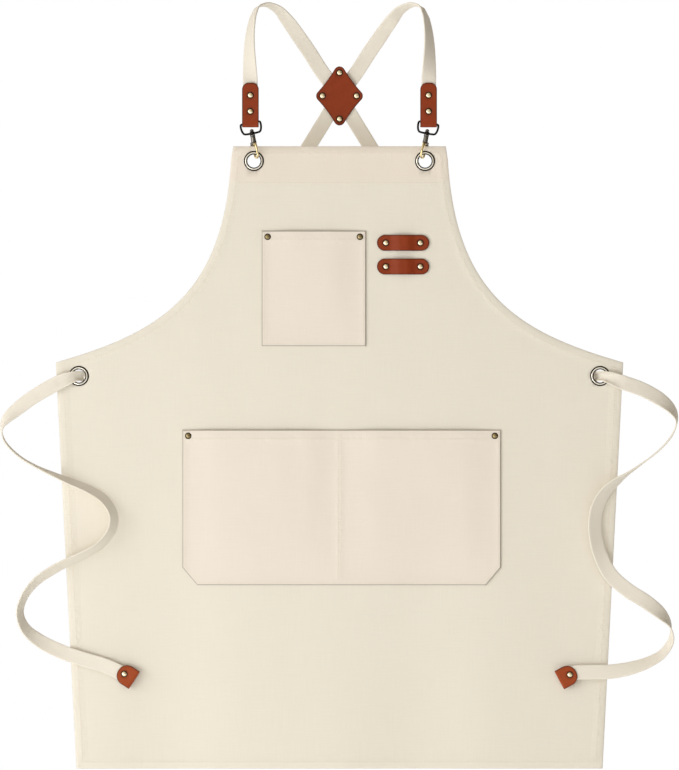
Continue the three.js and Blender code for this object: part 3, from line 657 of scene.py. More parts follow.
def sewPocket(name, pocket):
    fall = pocketFall(pocket)
    (rightOut, rightIn), (leftOut, leftIn) = pocketLines(pocket, pocketLook["hem"])
    top, bottom, clip = pocket["top"], pocket["bottom"], pocket["clip"]

    def track(inset):
        right = pocket["right"] - inset
        left = pocket["left"] + inset
        low = bottom + inset
        if not clip:
            return [(left, top - 1), (left, low), (right, low), (right, top - 1)]
        cut = 0.41 * inset
        return [(left, top - 1), (left, bottom + clip[1] + cut), (pocket["left"] + clip[0] + cut, low),
                (pocket["right"] - clip[0] - cut, low), (right, bottom + clip[1] + cut), (right, top - 1)]

    def finely(line, step=4):
        fine = [p for a, b in zip(line, line[1:]) for p in dense(a, b, step)]
        return [Vector(p) for p in [*fine, line[-1]]]

    hemLine = top - pocket["topHem"] + 1.2
    runs = [finely(track(pocketLook["stitchIn"])),
            finely([(pocket["left"] + 3, hemLine), (pocket["right"] - 3, hemLine)])]
    for seam in pocket["seams"]:
        for side in (-1, 1):
            runs.append(finely([(seam + side * 1.8, top - 1), (seam + side * 1.8, bottom + 3)]))

    def seams(x, z):
        edges = [x - pocket["left"], pocket["right"] - x, z - bottom, abs(z - hemLine)]
        edges += [abs(x - seam) for seam in pocket["seams"]]
        return numpy.exp(-(numpy.minimum.reduce(edges) / 5) ** 2)

    bm = hemmedSheet((rightOut, rightIn), (leftOut, leftIn), pocketLook["hem"],
                     round((pocket["right"] - pocket["left"]) / 4.2), pocketLook["y"], fall,
                     seams=seams, topHem=pocket["topHem"], crisp=True)
    piece = clothPiece(f"{name}_cloth", bm, "pocketCanvas", [name])
    sewn = stitches(f"{name}_stitches", runs, lambda x, z: pocketLook["y"] - halfCloth - 0.02 + fall(x, z))
    return piece, sewn


sewnPockets = {name: sewPocket(name, pocket) for name, pocket in pockets.items()}
print("pockets")

# Webbing. Each stop is x, y, z, the lean of its face in degrees and, near an eyelet, its width

webbing = {"width": 18.0, "thickness": 1.8, "step": 2.6}
crossY = {"left": 60.0, "right": 62.1}


def shoulderStops(depth):
    return [
        [-108.7, 0.95, -133, 0], [-108.7, 0.95, -112, 0], [-108.8, 0.95, -96, 0],
        [-108.9, 1.05, -87.5, -1.5], [-109.3, 1.7, -74, -20], [-109.8, 3.4, -59, -35],
        [-110, 7, -45, -46], [-109.4, 12, -31, -56], [-107.8, 19, -17, -65],
        [-105, 27, -4.5, -74], [-99.4, 35.5, 5.5, -86], [-88.5, 44, 8.6, -102], [-75, 51, 2.5, -124],
        [-65, 55, -9, -146], [-56.5, depth - 2.2, -20.5, -160], [-47.5, depth - 0.6, -33.5, -172],
        [-37.2, depth, -48.5, -180], [-24.5, depth, -68.5, -180], [-12, depth, -86.5, -180],
        [0, depth, -104, -180], [12, depth, -123, -180], [23, depth, -141, -180],
        [33.5, depth, -158, -180], [42, depth, -172, -180],
    ]


def backStops(depth):
    return [
        [42.2, depth, -172.4, -180], [66, depth, -212, -180], [98, 59, -262, -180],
        [140, 55, -322, -180], [190, 47, -379, -180], [238, 34, -420, -180],
        [272, 21, -440, -180], [292, 12.6, -446.5, -180, 17], [305, 7.2, -447, -180, 14],
        [313.2, 3.5, -446.7, -180, 11],
    ]


tieStops = {
    "left": [
        [-313, 3.6, -446.7, 0, 11], [-318.8, -0.2, -446.5, 0, 11], [-324, -3.1, -447.4, 0, 11.5],
        [-332, -5, -450, 0, 15],
        [-345.9, -5, -456.4, 4, 18], [-370.8, -5.6, -470.6, 12], [-391, -7, -485.4, 24],
        [-406.4, -9.6, -499.8, 52], [-411.6, -11, -512, 84], [-408, -11.4, -526, 92],
        [-391, -11.4, -544, 94], [-370.3, -11.4, -556.6, 96], [-350, -11.2, -566, 104],
        [-328.8, -11, -575, 114], [-304.6, -10.8, -585.4, 120], [-286, -10.6, -598, 124],
        [-275.6, -10.6, -616, 124], [-278, -10.6, -635, 123], [-292.4, -10.6, -652.8, 122],
        [-313, -10.6, -665, 122], [-333.6, -10.6, -674.6, 124], [-351, -10.4, -684, 126],
        [-370.6, -10.2, -698, 122], [-384.6, -10, -716.6, 116], [-389.6, -9.6, -735.6, 117],
        [-383.4, -9, -753.4, 130], [-366.6, -8, -768.6, 152], [-338.6, -6.4, -782.8, 170],
        [-311, -5.4, -792.2, 178], [-287, -5, -799.4, 180], [-266, -5, -809, 180],
        [-252.9, -5, -817, 180],
    ],
    "right": [
        [313, 3.6, -446.7, 180, 11], [318.8, -0.2, -446.5, 180, 11], [324, -3.1, -447.2, 180, 11.5],
        [332, -5, -449.4, 180, 15],
        [345.9, -5, -454.6, 176, 18], [368, -5.6, -462.4, 168], [391, -7, -475, 154],
        [406, -9.6, -489, 124], [410.8, -11, -502, 96], [405.6, -11.4, -518, 90],
        [390, -11.4, -536.6, 90], [367, -11.4, -554.4, 94], [350.6, -11, -566, 102],
        [338.4, -10.2, -574.6, 120], [325, -9, -587.4, 140], [315, -8, -605.4, 152],
        [311.4, -7.6, -627, 155], [313.8, -7.6, -650, 158], [320.2, -7.2, -670, 166],
        [331.6, -7, -690, 176], [352, -7, -708, 178], [374.6, -7.8, -722.4, 168],
        [393, -9.6, -737.6, 140], [403.4, -11, -752.6, 96], [404, -11, -768.6, 70],
        [394, -10.4, -784.6, 58], [376.6, -9.4, -795.4, 46], [354, -8, -803, 30],
        [330.6, -6.4, -807, 12], [306, -5.4, -807.6, 2], [284.2, -5, -809, 0],
        [270.8, -5, -815.8, 0],
    ],
}


def fullStops(stops):
    return [list(stop) + [webbing["width"]] * (5 - len(stop)) for stop in stops]


def mirrorStops(stops):
    return [[-x, y, z, 180 - lean, *rest] for x, y, z, lean, *rest in stops]


# A smooth line through the stops, spaced by the square root of their distances
def routeAt(stops, place, size):
    low = min(int(place), len(stops) - 2)
    share = place - low
    points = [stops[i] if 0 <= i < len(stops) else None for i in range(low - 1, low + 3)]
    if points[0] is None:
        points[0] = [2 * a - b for a, b in zip(points[1], points[2])]
    if points[3] is None:
        points[3] = [2 * a - b for a, b in zip(points[2], points[1])]
    gaps = [math.dist(a[:3], b[:3]) ** 0.5 for a, b in zip(points, points[1:])]
    before, middle, after = gaps
    result = []
    for a, b, c, d in zip(*[p[:size] for p in points]):
        start = ((b - a) / before - (c - a) / (before + middle) + (c - b) / middle) * middle
        end = ((c - b) / middle - (d - b) / (middle + after) + (d - c) / after) * middle
        result.append(b + start * share + (-3 * b + 3 * c - 2 * start - end) * share ** 2
                      + (2 * b - 2 * c + start + end) * share ** 3)
    return result


# The closed section of flat webbing with round edges: each point is how far across and how far out, from -1 to 1
def webbingSection():
    flat = [i / 5 for i in range(-5, 6)]
    edge = 0.93
    upper = [(a * edge, 1.0 - 0.12 * math.cos(a * math.pi * 0.5)) for a in flat]
    lower = [(a * edge, -1.0 + 0.12 * math.cos(a * math.pi * 0.5)) for a in reversed(flat)]
    return [*upper, (0.985, 0.62), (1.0, 0.0), (0.985, -0.62), *lower, (-0.985, -0.62), (-1.0, 0.0), (-0.985, 0.62)]


def webbingStrip(name, stops, finish, body, replaced, startLength=0.0, cup=1):
    stops = fullStops(stops)
    last = len(stops) - 1
    rough = [Vector(routeAt(stops, last * i / 400, 3)) for i in range(401)]
    total = sum((b - a).length for a, b in zip(rough, rough[1:]))
    steps = max(12, round(total / webbing["step"]))
    section = webbingSection()
    bm = bmesh.new()
    bmesh.ops.create_grid(bm, x_segments=steps, y_segments=len(section), size=1)
    stations, centres, gone = [], [], 0.0
    for i in range(steps + 1):
        place = last * i / steps
        x, y, z, lean, width = routeAt(stops, place, 5)
        a = Vector(routeAt(stops, max(0, place - 0.02), 3))
        b = Vector(routeAt(stops, min(last, place + 0.02), 3))
        tangent = (b - a).normalized()
        turn = math.radians(lean)
        across = Vector((tangent.z, 0, -tangent.x)).normalized() * math.cos(turn) + Vector((0, math.sin(turn), 0))
        across = (across - tangent * across.dot(tangent)).normalized()
        out = tangent.cross(across)
        centre = Vector((x, y, z))
        if centres:
            gone += (centre - centres[-1]).length
        centres.append(centre)
        stations.append((centre, across, out, min(width, webbing["width"]), gone))
    uv = bm.loops.layers.uv.new("weave")
    count = len(section)
    for face in bm.faces:
        for loop in face.loops:
            column = round((loop.vert.co.x + 1) / 2 * steps)
            ring = round((loop.vert.co.y + 1) / 2 * count)
            share = section[ring % count][0] if ring < count else section[0][0]
            loop[uv].uv = ((startLength + stations[column][4]) * mm, share * webbing["width"] / 2 * mm)
    for vert in bm.verts:
        column = round((vert.co.x + 1) / 2 * steps)
        ring = round((vert.co.y + 1) / 2 * count) % count
        centre, across, out, width, gone = stations[column]
        side, level = section[ring]
        half, thick = webbing["width"] / 2, webbing["thickness"] / 2
        squeeze = width / webbing["width"]
        if squeeze > 0.995:
            spot = centre + across * side * half + out * level * thick
        else:  # squeezed webbing cups across its width and keeps its length round the arc
            bend = (6 * (1 - squeeze)) ** 0.5 * (1 + 0.16 * (1 - squeeze))
            radius = half / bend
            sag = radius * (1 - math.cos(bend))
            angle = side * bend
            reach = radius - level * thick * cup
            drop = radius - reach * math.cos(angle) - sag * 0.55
            spot = centre + across * reach * math.sin(angle) + out * drop * cup
        vert.co = spot * mm
    bmesh.ops.remove_doubles(bm, verts=bm.verts, dist=1e-7)
    open_ = [e for e in bm.edges if e.is_boundary]
    bmesh.ops.holes_fill(bm, edges=open_, sides=0)
    bmesh.ops.recalc_face_normals(bm, faces=bm.faces)
    piece = finishPiece(name, bm, finish, body, replaced)
    return piece, [c * mm for c in centres], gone * mm


straps = {}
for side in ("left", "right"):
    stops = shoulderStops(crossY[side])
    back = backStops(crossY[side])
    if side == "right":
        stops, back = mirrorStops(stops), mirrorStops(back)
    far = "right" if side == "left" else "left"
    strap, strapPath, strapLength = webbingStrip(
        f"shoulder_webbing_{side}", stops, "webbing", "apron", [f"shoulder_strap_{side}"])
    lower, lowerPath, lowerLength = webbingStrip(
        f"back_webbing_{side}", back, "webbing", "apron", [f"back_strap_{side}"],
        strapLength / mm, cup=-1 if far == "left" else 1)
    straps[side] = (strap, strapPath, strapLength, lower, lowerPath, lowerLength)
    tie, tiePath, tieLength = webbingStrip(
        f"tie_webbing_{far}", tieStops[far], "webbing", "apron", [f"waist_tie_{far}"],
        (strapLength + lowerLength) / mm, cup=-1 if far == "left" else 1)
    straps[f"tie_{far}"] = (tie, tiePath, tieLength)
    print("webbing", side, round(strapLength, 3), round(lowerLength, 3), round(tieLength, 3))

# Leather. A piece is a strip along its own length, with its half width at each point of the length

leatherLook = {"thickness": 1.8, "round": 0.55, "dimple": 0.35}


def leatherStrip(name, span, half, bend, place, finish, replaced, rivets=(), thickness=None, body="apron"):
    thickness = thickness or leatherLook["thickness"]
    start, end = span
    outline = [Vector((half(s), s)) for s in [start + (end - start) * i / 240 for i in range(241)]]
    rim = [*outline, *[Vector((-p.x, p.y)) for p in reversed(outline)]]
    rim.append(rim[0])
    rowsAt = half.rows
    edges = [0, 0.18, 0.42, 0.8, 1.5]
    inner = [i / 10 for i in range(-10, 11)]
    bm = bmesh.new()
    columns = len(edges) * 2 + len(inner)
    bmesh.ops.create_grid(bm, x_segments=columns - 1, y_segments=len(rowsAt) - 1, size=1)
    rimLayer = bm.verts.layers.float.new("rim")
    pressLayer = bm.verts.layers.float.new("pressed")
    flat = {}
    for vert in bm.verts:
        column = round((vert.co.x + 1) / 2 * (columns - 1))
        row = round((vert.co.y + 1) / 2 * (len(rowsAt) - 1))
        s = rowsAt[row]
        wide = half(s)
        core = max(wide - 2.3, wide * 0.4)
        if column < len(edges):
            c = -(wide - min(edges[column], (wide - core) * edges[column] / 2.3))
        elif column >= columns - len(edges):
            step = edges[columns - 1 - column]
            c = wide - min(step, (wide - core) * step / 2.3)
        else:
            c = core * inner[column - len(edges)]
        flat[vert] = (c, s)
    front = list(bm.verts)
    gaps = distancesTo(numpy.array([flat[vert] for vert in front]), rim)
    for vert, away in zip(front, [float(gap) for gap in gaps]):
        c, s = flat[vert]
        press = sum(math.exp(-((math.hypot(c - rc, s - rs)) / 5.2) ** 4) for rc, rs in rivets)
        near = min(away / leatherLook["round"], 1)
        fall = leatherLook["round"] * (1 - math.sqrt(max(0, 1 - (1 - near) ** 2)))
        crown = 0.12 * (1 - math.exp(-away / 2))
        vert[rimLayer] = math.exp(-((away / 1.0) ** 2))
        vert[pressLayer] = min(press, 1)
        flat[vert] = (c, s, thickness / 2 - fall + crown - leatherLook["dimple"] * min(press, 1))
    made = bmesh.ops.duplicate(bm, geom=[*bm.verts, *bm.edges, *bm.faces])
    twins = made["vert_map"]
    pairs = [(v, twins[v]) for v in front]
    for vert, twin in pairs:
        c, s, out = flat[vert]
        along, up, tilt = bend(s)
        for spot, way in ((vert, 1), (twin, -1)):
            spot.co = place @ Vector((c, along - math.sin(tilt) * out * way, up + math.cos(tilt) * out * way)) * 1.0
    backFaces = [f for f in made["geom"] if isinstance(f, bmesh.types.BMFace)]
    bmesh.ops.reverse_faces(bm, faces=backFaces)
    bmesh.ops.remove_doubles(bm, verts=bm.verts, dist=0.02)
    open_ = [e for e in bm.edges if e.is_boundary]
    bmesh.ops.bridge_loops(bm, edges=open_)
    bmesh.ops.scale(bm, vec=(mm, mm, mm), verts=bm.verts)
    bmesh.ops.recalc_face_normals(bm, faces=bm.faces)
    return finishPiece(name, bm, finish, body, replaced)


# Half width of a strip with round ends, closer rows where the end turns in
class RoundEnds:
    def __init__(self, start, end, half, startCorner, endCorner, step=2.0):
        self.start, self.end, self.half = start, end, half
        self.startCorner, self.endCorner = startCorner, endCorner
        low, high = start + startCorner, end - endCorner
        rows = [start + startCorner * (1 - math.cos(i / 9 * math.pi / 2)) for i in range(9)] if startCorner else []
        count = max(2, round((high - low) / step))
        rows += [low + (high - low) * i / count for i in range(count)]
        if endCorner:
            rows += [high + endCorner * math.sin(i / 9 * math.pi / 2) for i in range(10)]
        else:
            rows.append(high)
        self.rows = rows

    def __call__(self, s):
        for corner, gone in ((self.startCorner, s - self.start), (self.endCorner, self.end - s)):
            if corner and gone < corner:
                away = corner - max(gone, 0)
                return self.half - corner + math.sqrt(max(corner ** 2 - away ** 2, 0))
        return self.half


class DiamondHalf:
    def __init__(self, look):
        tip, tall, half = look["tip"], look["tall"] - look["tip"], look["half"] - look["tip"]
        leave, meet = math.radians(look["leave"]), math.radians(look["meet"])
        a = (tip * math.cos(leave), tall + tip * math.sin(leave))
        b = (half + tip * math.cos(meet), tip * math.sin(meet))
        turn = math.sin(meet - leave)
        reach = ((b[0] - a[0]) * -math.cos(meet) - (b[1] - a[1]) * math.sin(meet)) / turn
        hollow = (a[0] + math.sin(leave) * reach, a[1] - math.cos(leave) * reach)
        upper = [(tip * math.cos(t), tall + tip * math.sin(t))
                 for t in [math.pi / 2 + (leave - math.pi / 2) * i / 12 for i in range(12)]]
        for i in range(20):
            t = i / 20
            upper.append(tuple(p * (1 - t) ** 2 + 2 * q * t * (1 - t) + r * t * t for p, q, r in zip(a, hollow, b)))
        upper += [(half + tip * math.cos(t), tip * math.sin(t)) for t in [meet * (1 - i / 10) for i in range(10)]]
        self.points = [*upper, (look["half"], 0.0), *[(x, -z) for x, z in reversed(upper)]]
        self.rows = [p[1] for p in reversed(self.points)]

    def __call__(self, s):
        for (x0, z0), (x1, z1) in zip(self.points, self.points[1:]):
            if z0 >= s >= z1:
                return x0 + (x1 - x0) * (z0 - s) / max(z0 - z1, 1e-9)
        return 0.0


flatBend = lambda s: (s, 0, 0)


# Across, along, out become x, z and -y
def facingPlace(x, y, z, turn=0.0, face=1):
    spin = Matrix.Rotation(turn, 4, "Y")
    swap = Matrix(((face, 0, 0, 0), (0, 0, -face, 0), (0, 1, 0, 0), (0, 0, 0, 1)))
    return Matrix.Translation((x, y, z)) @ spin @ swap


patch = {
    "z": -102.7, "half": 28.6, "tall": 36.1, "tip": 6.8, "leave": 31, "meet": 43,
    "frontY": 57.9, "backY": 64.2, "rivetX": 20.9, "rivetZ": 28.4,
}
patchRivets = [(0, patch["rivetZ"]), (0, -patch["rivetZ"]), (patch["rivetX"], 0), (-patch["rivetX"], 0)]
leatherStrip("cross_patch_face", (-patch["tall"], patch["tall"]), DiamondHalf(patch), flatBend,
             facingPlace(0, patch["frontY"], patch["z"]), "leather", ["cross_patch_front"], patchRivets)
leatherStrip("cross_patch_lining", (-patch["tall"], patch["tall"]), DiamondHalf(patch), flatBend,
             facingPlace(0, patch["backY"], patch["z"]), "leather", ["cross_patch_back"], patchRivets)

toolLoop = {"x": 77.6, "length": 63.7, "height": 19.4, "rivets": 42, "arch": 3.7, "flat": 17, "foot": 29,
            "upper": -284.1, "lower": -313}


def loopRise(s):
    return toolLoop["arch"] * (1 - smoothStep(abs(s), toolLoop["flat"] / 2 - 5, toolLoop["foot"] / 2 + 2))


def loopBend(s):
    return s, loopRise(s), math.atan2(loopRise(s + 0.1) - loopRise(s), 0.1)


def lyingPlace(x, y, z):
    return Matrix.Translation((x, y, z)) @ Matrix(((0, 1, 0, 0), (0, 0, -1, 0), (-1, 0, 0, 0), (0, 0, 0, 1)))


halfLoop = toolLoop["length"] / 2
for level in ("upper", "lower"):
    z = toolLoop[level]
    back = drape(toolLoop["x"], z)
    leatherStrip(f"tool_loop_{level}_strap", (-halfLoop, halfLoop),
                 RoundEnds(-halfLoop, halfLoop, toolLoop["height"] / 2, toolLoop["height"] / 2 - 0.2,
                           toolLoop["height"] / 2 - 0.2, 1.2),
                 loopBend, lyingPlace(toolLoop["x"], -1.25 + back, z), "leather", [f"tool_loop_{level}"],
                 [(0, toolLoop["rivets"] / 2), (0, -toolLoop["rivets"] / 2)])


# A strip folded in two: s is 0 at the bottom of the fold, the front leaf is above 0
def foldBend(radius):
    arc = math.pi * radius / 2

    def bend(s):
        if abs(s) <= arc:
            angle = s / radius
            return -radius * math.cos(angle), radius * math.sin(angle), math.pi / 2 - angle
        side = 1 if s > 0 else -1
        return abs(s) - arc, side * radius, 0 if side > 0 else math.pi
    return bend


class FoldedHalf:
    def __init__(self, half, reach, corner, arc):
        self.leaf = RoundEnds(0, reach + arc, half, 0, corner, 2.0)
        self.arc = arc
        bends = [arc * i / 5 for i in range(-5, 6)]
        rise = [s for s in self.leaf.rows if s > arc * 1.05]
        self.rows = [*[-s for s in reversed(rise)], *bends, *rise]

    def __call__(self, s):
        return self.leaf(abs(s))


def foldedLeather(name, width, height, corner, slot, thickness, place, finish, replaced, rivetUps):
    radius = slot + thickness / 2
    arc = math.pi * radius / 2
    half = FoldedHalf(width / 2, height, corner, arc)
    end = height + arc
    rivets = [(0, up + arc) for up in rivetUps] + [(0, -up - arc) for up in rivetUps]
    return leatherStrip(name, (-end, end), half, foldBend(radius), place, finish, replaced, rivets, thickness)


tab = {"x": 108.7, "top": -88.8, "fold": -139.8, "width": 20.3, "corner": 8, "slot": 1.5, "rivets": [-104, -123.7]}
for side, way in (("left", -1), ("right", 1)):
    foldedLeather(f"hook_tab_{side}_leather", tab["width"], tab["top"] - tab["fold"], tab["corner"], tab["slot"], 1.8,
                  facingPlace(way * tab["x"], 0.95, tab["fold"]), "leather", [f"hook_tab_{side}"],
                  [z - tab["fold"] for z in tab["rivets"]])

tieTip = {"length": 23, "width": 25, "slot": 1.2, "leather": 1.4, "rivet": 14.6}
tipPlaces = {"left": (-250.1, -5, -817.6, -57.4), "right": (268, -5, -817.6, 61.8)}
for side, (x, y, z, turn) in tipPlaces.items():
    turned = facingPlace(x, y, z, math.radians(turn))
    outer = tieTip["slot"] + tieTip["leather"]
    foldedLeather(
        f"tie_tip_{side}_leather", tieTip["width"], tieTip["length"] - outer, tieTip["width"] / 2 - 0.6,
        tieTip["slot"], tieTip["leather"], turned @ Matrix.Translation((0, outer, 0)), "tipLeather",
        [f"tie_tip_{side}"], [tieTip["rivet"] - outer])
print("leather")

# Metal, turned from a profile of radius and height; the share of painted shade and patina is given for each profile
# point


def turnedMetal(bm, profile, place, segments=32):
    made = []
    for radius, height, _ in profile:
        made.append(bm.verts.new((max(radius, 0), 0, height)))
    edges = [bm.edges.new(pair) for pair in zip(made, made[1:])]
    bmesh.ops.spin(bm, geom=[*made, *edges], cent=(0, 0, 0), axis=(0, 0, 1), angle=math.tau,
                   steps=segments, use_merge=True, use_duplicate=False)
    layer = bm.verts.layers.float.get("shade_and_patina") or bm.verts.layers.float.new("shade_and_patina")
    fresh = [v for v in bm.verts if not v.tag]
    for vert in fresh:
        radius = math.hypot(vert.co.x, vert.co.y)
        best = min(profile, key=lambda p: abs(p[0] - radius) + abs(p[1] - vert.co.z))
        # share of painted shade and patina, taken from the nearest profile point
        vert[layer] = best[2]
        vert.co = place @ vert.co
        vert.tag = True
    bmesh.ops.remove_doubles(bm, verts=fresh, dist=0.004)
    return fresh


# Height runs out of the front, along -y
def frontPlace(x, y, z, turn=0.0):
    return Matrix.Translation((x, y, z)) @ Matrix.Rotation(turn, 4, "Y") @ Matrix.Rotation(math.pi / 2, 4, "X")


rivetLook = {"cap": 4.0, "dome": 1.9, "post": 1.5, "back": 3.8}


def rivetProfile(stack):
    cap, dome = rivetLook["cap"], rivetLook["dome"]
    back = -stack
    # third values: painted shade with some patina; the dome's crown stays bright, the ring where the cap meets the
    # cloth, its underside and the post are painted dark as contact shade
    return [
        (0, dome, 0.0), (0.9, dome * 0.98, 0.0), (1.7, dome * 0.9, 0.0), (2.3, dome * 0.77, 0.0),
        (2.75, dome * 0.6, 0.1), (3.0, dome * 0.44, 0.7), (3.2, dome * 0.32, 1.0), (3.5, dome * 0.26, 1.0),
        (cap - 0.15, dome * 0.22, 1.0), (cap, dome * 0.14, 1.0), (cap - 0.12, 0.05, 1.0), (cap - 0.5, 0.0, 1.0),
        (rivetLook["post"], 0.0, 1.0), (rivetLook["post"], back, 1.0), (rivetLook["back"] - 0.3, back, 1.0),
        (rivetLook["back"], back - 0.35, 0.3), (rivetLook["back"] - 0.35, back - 0.85, 0.1),
        (2.1, back - 1.1, 0.0), (1.5, back - 1.0, 0.6), (0.9, back - 0.72, 1.0), (0, back - 0.65, 0.8),
    ]


def addRivet(node, x, y, z, stack, finish="brass", turn=0.0):
    bm = bmesh.new()
    turnedMetal(bm, rivetProfile(stack), frontPlace(x, y, z, turn), 28)
    bmesh.ops.scale(bm, vec=(mm, mm, mm), verts=bm.verts)
    bmesh.ops.recalc_face_normals(bm, faces=bm.faces)
    finishPiece(f"{node}_domed", bm, finish, "apron", [node])


for name, pocket in pockets.items():
    for side, x in (("left", pocket["left"] + 6.5), ("right", pocket["right"] - 6.5)):
        z = pocket["top"] - 6.5
        y = pocketLook["y"] - halfCloth - 0.05 + pocketFall(pocket)(x, z)
        addRivet(f"{name}_rivet_{side}", x, y, z, 3.1, "darkBrass")
for level in ("upper", "lower"):
    for side, way in (("left", -1), ("right", 1)):
        x, z = toolLoop["x"] + way * toolLoop["rivets"] / 2, toolLoop[level]
        addRivet(f"tool_loop_{level}_rivet_{side}", x, -1.85 + drape(toolLoop["x"], z), z, 3.0)
for node, across, up in (("top", 0, 1), ("bottom", 0, -1), ("left", -1, 0), ("right", 1, 0)):
    x, z = across * patch["rivetX"], patch["z"] + up * patch["rivetZ"]
    addRivet(f"cross_patch_rivet_{node}", x, patch["frontY"] - 0.62, z, 7.6)
for side, way in (("left", -1), ("right", 1)):
    for level, z in (("upper", tab["rivets"][0]), ("lower", tab["rivets"][1])):
        addRivet(f"hook_tab_rivet_{level}_{side}", way * tab["x"], 0.95 - 3.02, z, 6.1)
for side, (x, y, z, turn) in tipPlaces.items():
    away = Matrix.Rotation(math.radians(turn), 4, "Y") @ Vector((0, 0, tieTip["rivet"]))
    addRivet(f"tie_tip_rivet_{side}", x + away.x, y - 2.4, z + away.z, 4.8)

eyeletLook = {"hole": 8.0, "barrel": 8.55, "flange": 12.3}


def addEyelet(place, x, z, stack):
    hole, flange = eyeletLook["hole"], eyeletLook["flange"]
    bm = bmesh.new()
    # third values: painted shade with some patina; the hole's barrel and the slope out to the flange's rim are painted
    # dark as shaded, the crown of the rolled face stays bright
    turnedMetal(bm, [
        (hole, -stack - 1.4, 0.9), (hole, -0.6, 0.95), (hole, 0.1, 1.0), (hole + 0.12, 0.5, 1.0),
        (hole + 0.45, 0.84, 1.0), (hole + 0.95, 1.04, 1.0), (hole + 1.25, 1.14, 0.9), (hole + 1.45, 1.2, 0.1),
        (hole + 1.85, 1.25, 0.0), (hole + 2.3, 1.22, 0.0),
        (hole + 2.6, 1.1, 0.1), (hole + 2.8, 0.92, 0.9), (hole + 3.05, 0.78, 1.0), (flange - 0.7, 0.68, 1.0),
        (flange - 0.25, 0.55, 1.0), (flange, 0.25, 1.0), (flange - 0.1, 0.0, 1.0), (flange - 0.6, -0.05, 1.0),
        (eyeletLook["barrel"], -0.05, 1.0), (eyeletLook["barrel"], -stack - 1.1, 1.0), (hole + 0.3, -stack - 1.5, 0.6),
        (hole, -stack - 1.4, 0.9),
    ], frontPlace(x, 0.0, z), 56)
    bmesh.ops.scale(bm, vec=(mm, mm, mm), verts=bm.verts)
    bmesh.ops.recalc_face_normals(bm, faces=bm.faces)
    node = place.replace("_", "_grommet_")
    finishPiece(f"{node}_ring", bm, "eyelet", "apron", [node])
    bm = bmesh.new()
    # third values: painted shade with some patina on the washer's rims and inner step
    turnedMetal(bm, [
        (eyeletLook["barrel"] + 0.15, 0.0, 1.0), (flange - 0.5, 0.0, 1.0), (flange - 0.2, 0.35, 0.6),
        (flange - 0.6, 0.85, 0.1), (flange - 1.6, 1.0, 0.0), (hole + 1.9, 0.95, 0.2), (hole + 1.6, 0.8, 1.0),
        (hole + 1.3, 1.0, 0.3), (eyeletLook["barrel"] + 0.15, 1.0, 0.6),
        (eyeletLook["barrel"] + 0.15, 0.0, 1.0),
    ], Matrix.Translation((x, stack + 0.05, z)) @ Matrix.Rotation(-math.pi / 2, 4, "X"), 56)
    bmesh.ops.scale(bm, vec=(mm, mm, mm), verts=bm.verts)
    bmesh.ops.recalc_face_normals(bm, faces=bm.faces)
    node = place.replace("_", "_washer_")
    finishPiece(f"{node}_ring", bm, "eyelet", "apron", [node])


for place, (x, z) in eyeletPlaces.items():
    addEyelet(place, x, z, 2.6 if place.startswith("bib") else 0.85)


# Wire along a line of points, its radius given at each

def addWire(bm, points, radii, place, closed=False, sides=12, flatten=1.0):
    count = len(points)
    steps = count if closed else count - 1
    bmNew = bmesh.new()
    bmesh.ops.create_grid(bmNew, x_segments=steps, y_segments=sides, size=1)
    shade_and_patina = bmNew.verts.layers.float.new("shade_and_patina")
    rings = []
    for i in range(steps + 1):
        here = points[i % count]
        ahead = points[(i + 1) % count] if closed or i < count - 1 else points[i]
        behind = points[(i - 1) % count] if closed or i else points[i]
        tangent = (Vector(ahead) - Vector(behind)).normalized()
        upright = abs(tangent.x) < 0.01 and all(abs(p[0]) < 1e-6 for p in points)
        flat = Vector((1, 0, 0)) if upright else Vector((0, 1, 0))
        other = tangent.cross(flat).normalized()
        rings.append((Vector(here), flat, other, radii[i % count]))
    for vert in bmNew.verts:
        column = round((vert.co.x + 1) / 2 * steps)
        turn = (vert.co.y + 1) / 2 * math.tau
        here, flat, other, radius = rings[column]
        vert.co = place @ (here + flat * math.cos(turn) * radius * flatten + other * math.sin(turn) * radius)
        vert[shade_and_patina] = 0.0
    bmesh.ops.remove_doubles(bmNew, verts=bmNew.verts, dist=0.002)
    bmesh.ops.holes_fill(bmNew, edges=[e for e in bmNew.edges if e.is_boundary], sides=0)
    bmesh.ops.recalc_face_normals(bmNew, faces=bmNew.faces)
    temporary = bpy.data.meshes.new("wire")
    bmNew.to_mesh(temporary)
    bmNew.free()
    bm.from_mesh(temporary)
    bpy.data.meshes.remove(temporary)
    for vert in bm.verts:
        vert.tag = True


def smoothLine(stops, steps, closed=False):
    if closed:
        stops = [*stops, stops[0]]
    padded = [[*s] for s in stops]
    if closed:
        ring = padded[:-1]
        wide = [*ring[-2:], *ring, *ring[:3]]
        return [routeAt(wide, 2 + len(ring) * i / steps, 3) for i in range(steps)]
    last = len(padded) - 1
    return [routeAt(padded, last * i / steps, 3) for i in range(steps + 1)]


hook = {
    "x": 108.9, "y": 0.95, "z": -137.8, "tilt": math.radians(10.7), "turn": math.radians(16),
    "eyeTop": 12.3, "eyeLow": 10.6, "eyeDrop": 12.9, "eyeStraight": 5.6, "eyeWire": 1.3,
    "clawWire": 1.3, "clawHalf": 6.8, "clawShoulder": -27.6, "clawBottom": -43.2, "clawCorner": 4.2, "clawTip": -35.6,
    "gateY": 5.4, "gateZ": -28, "gateEnd": -35.2,
}


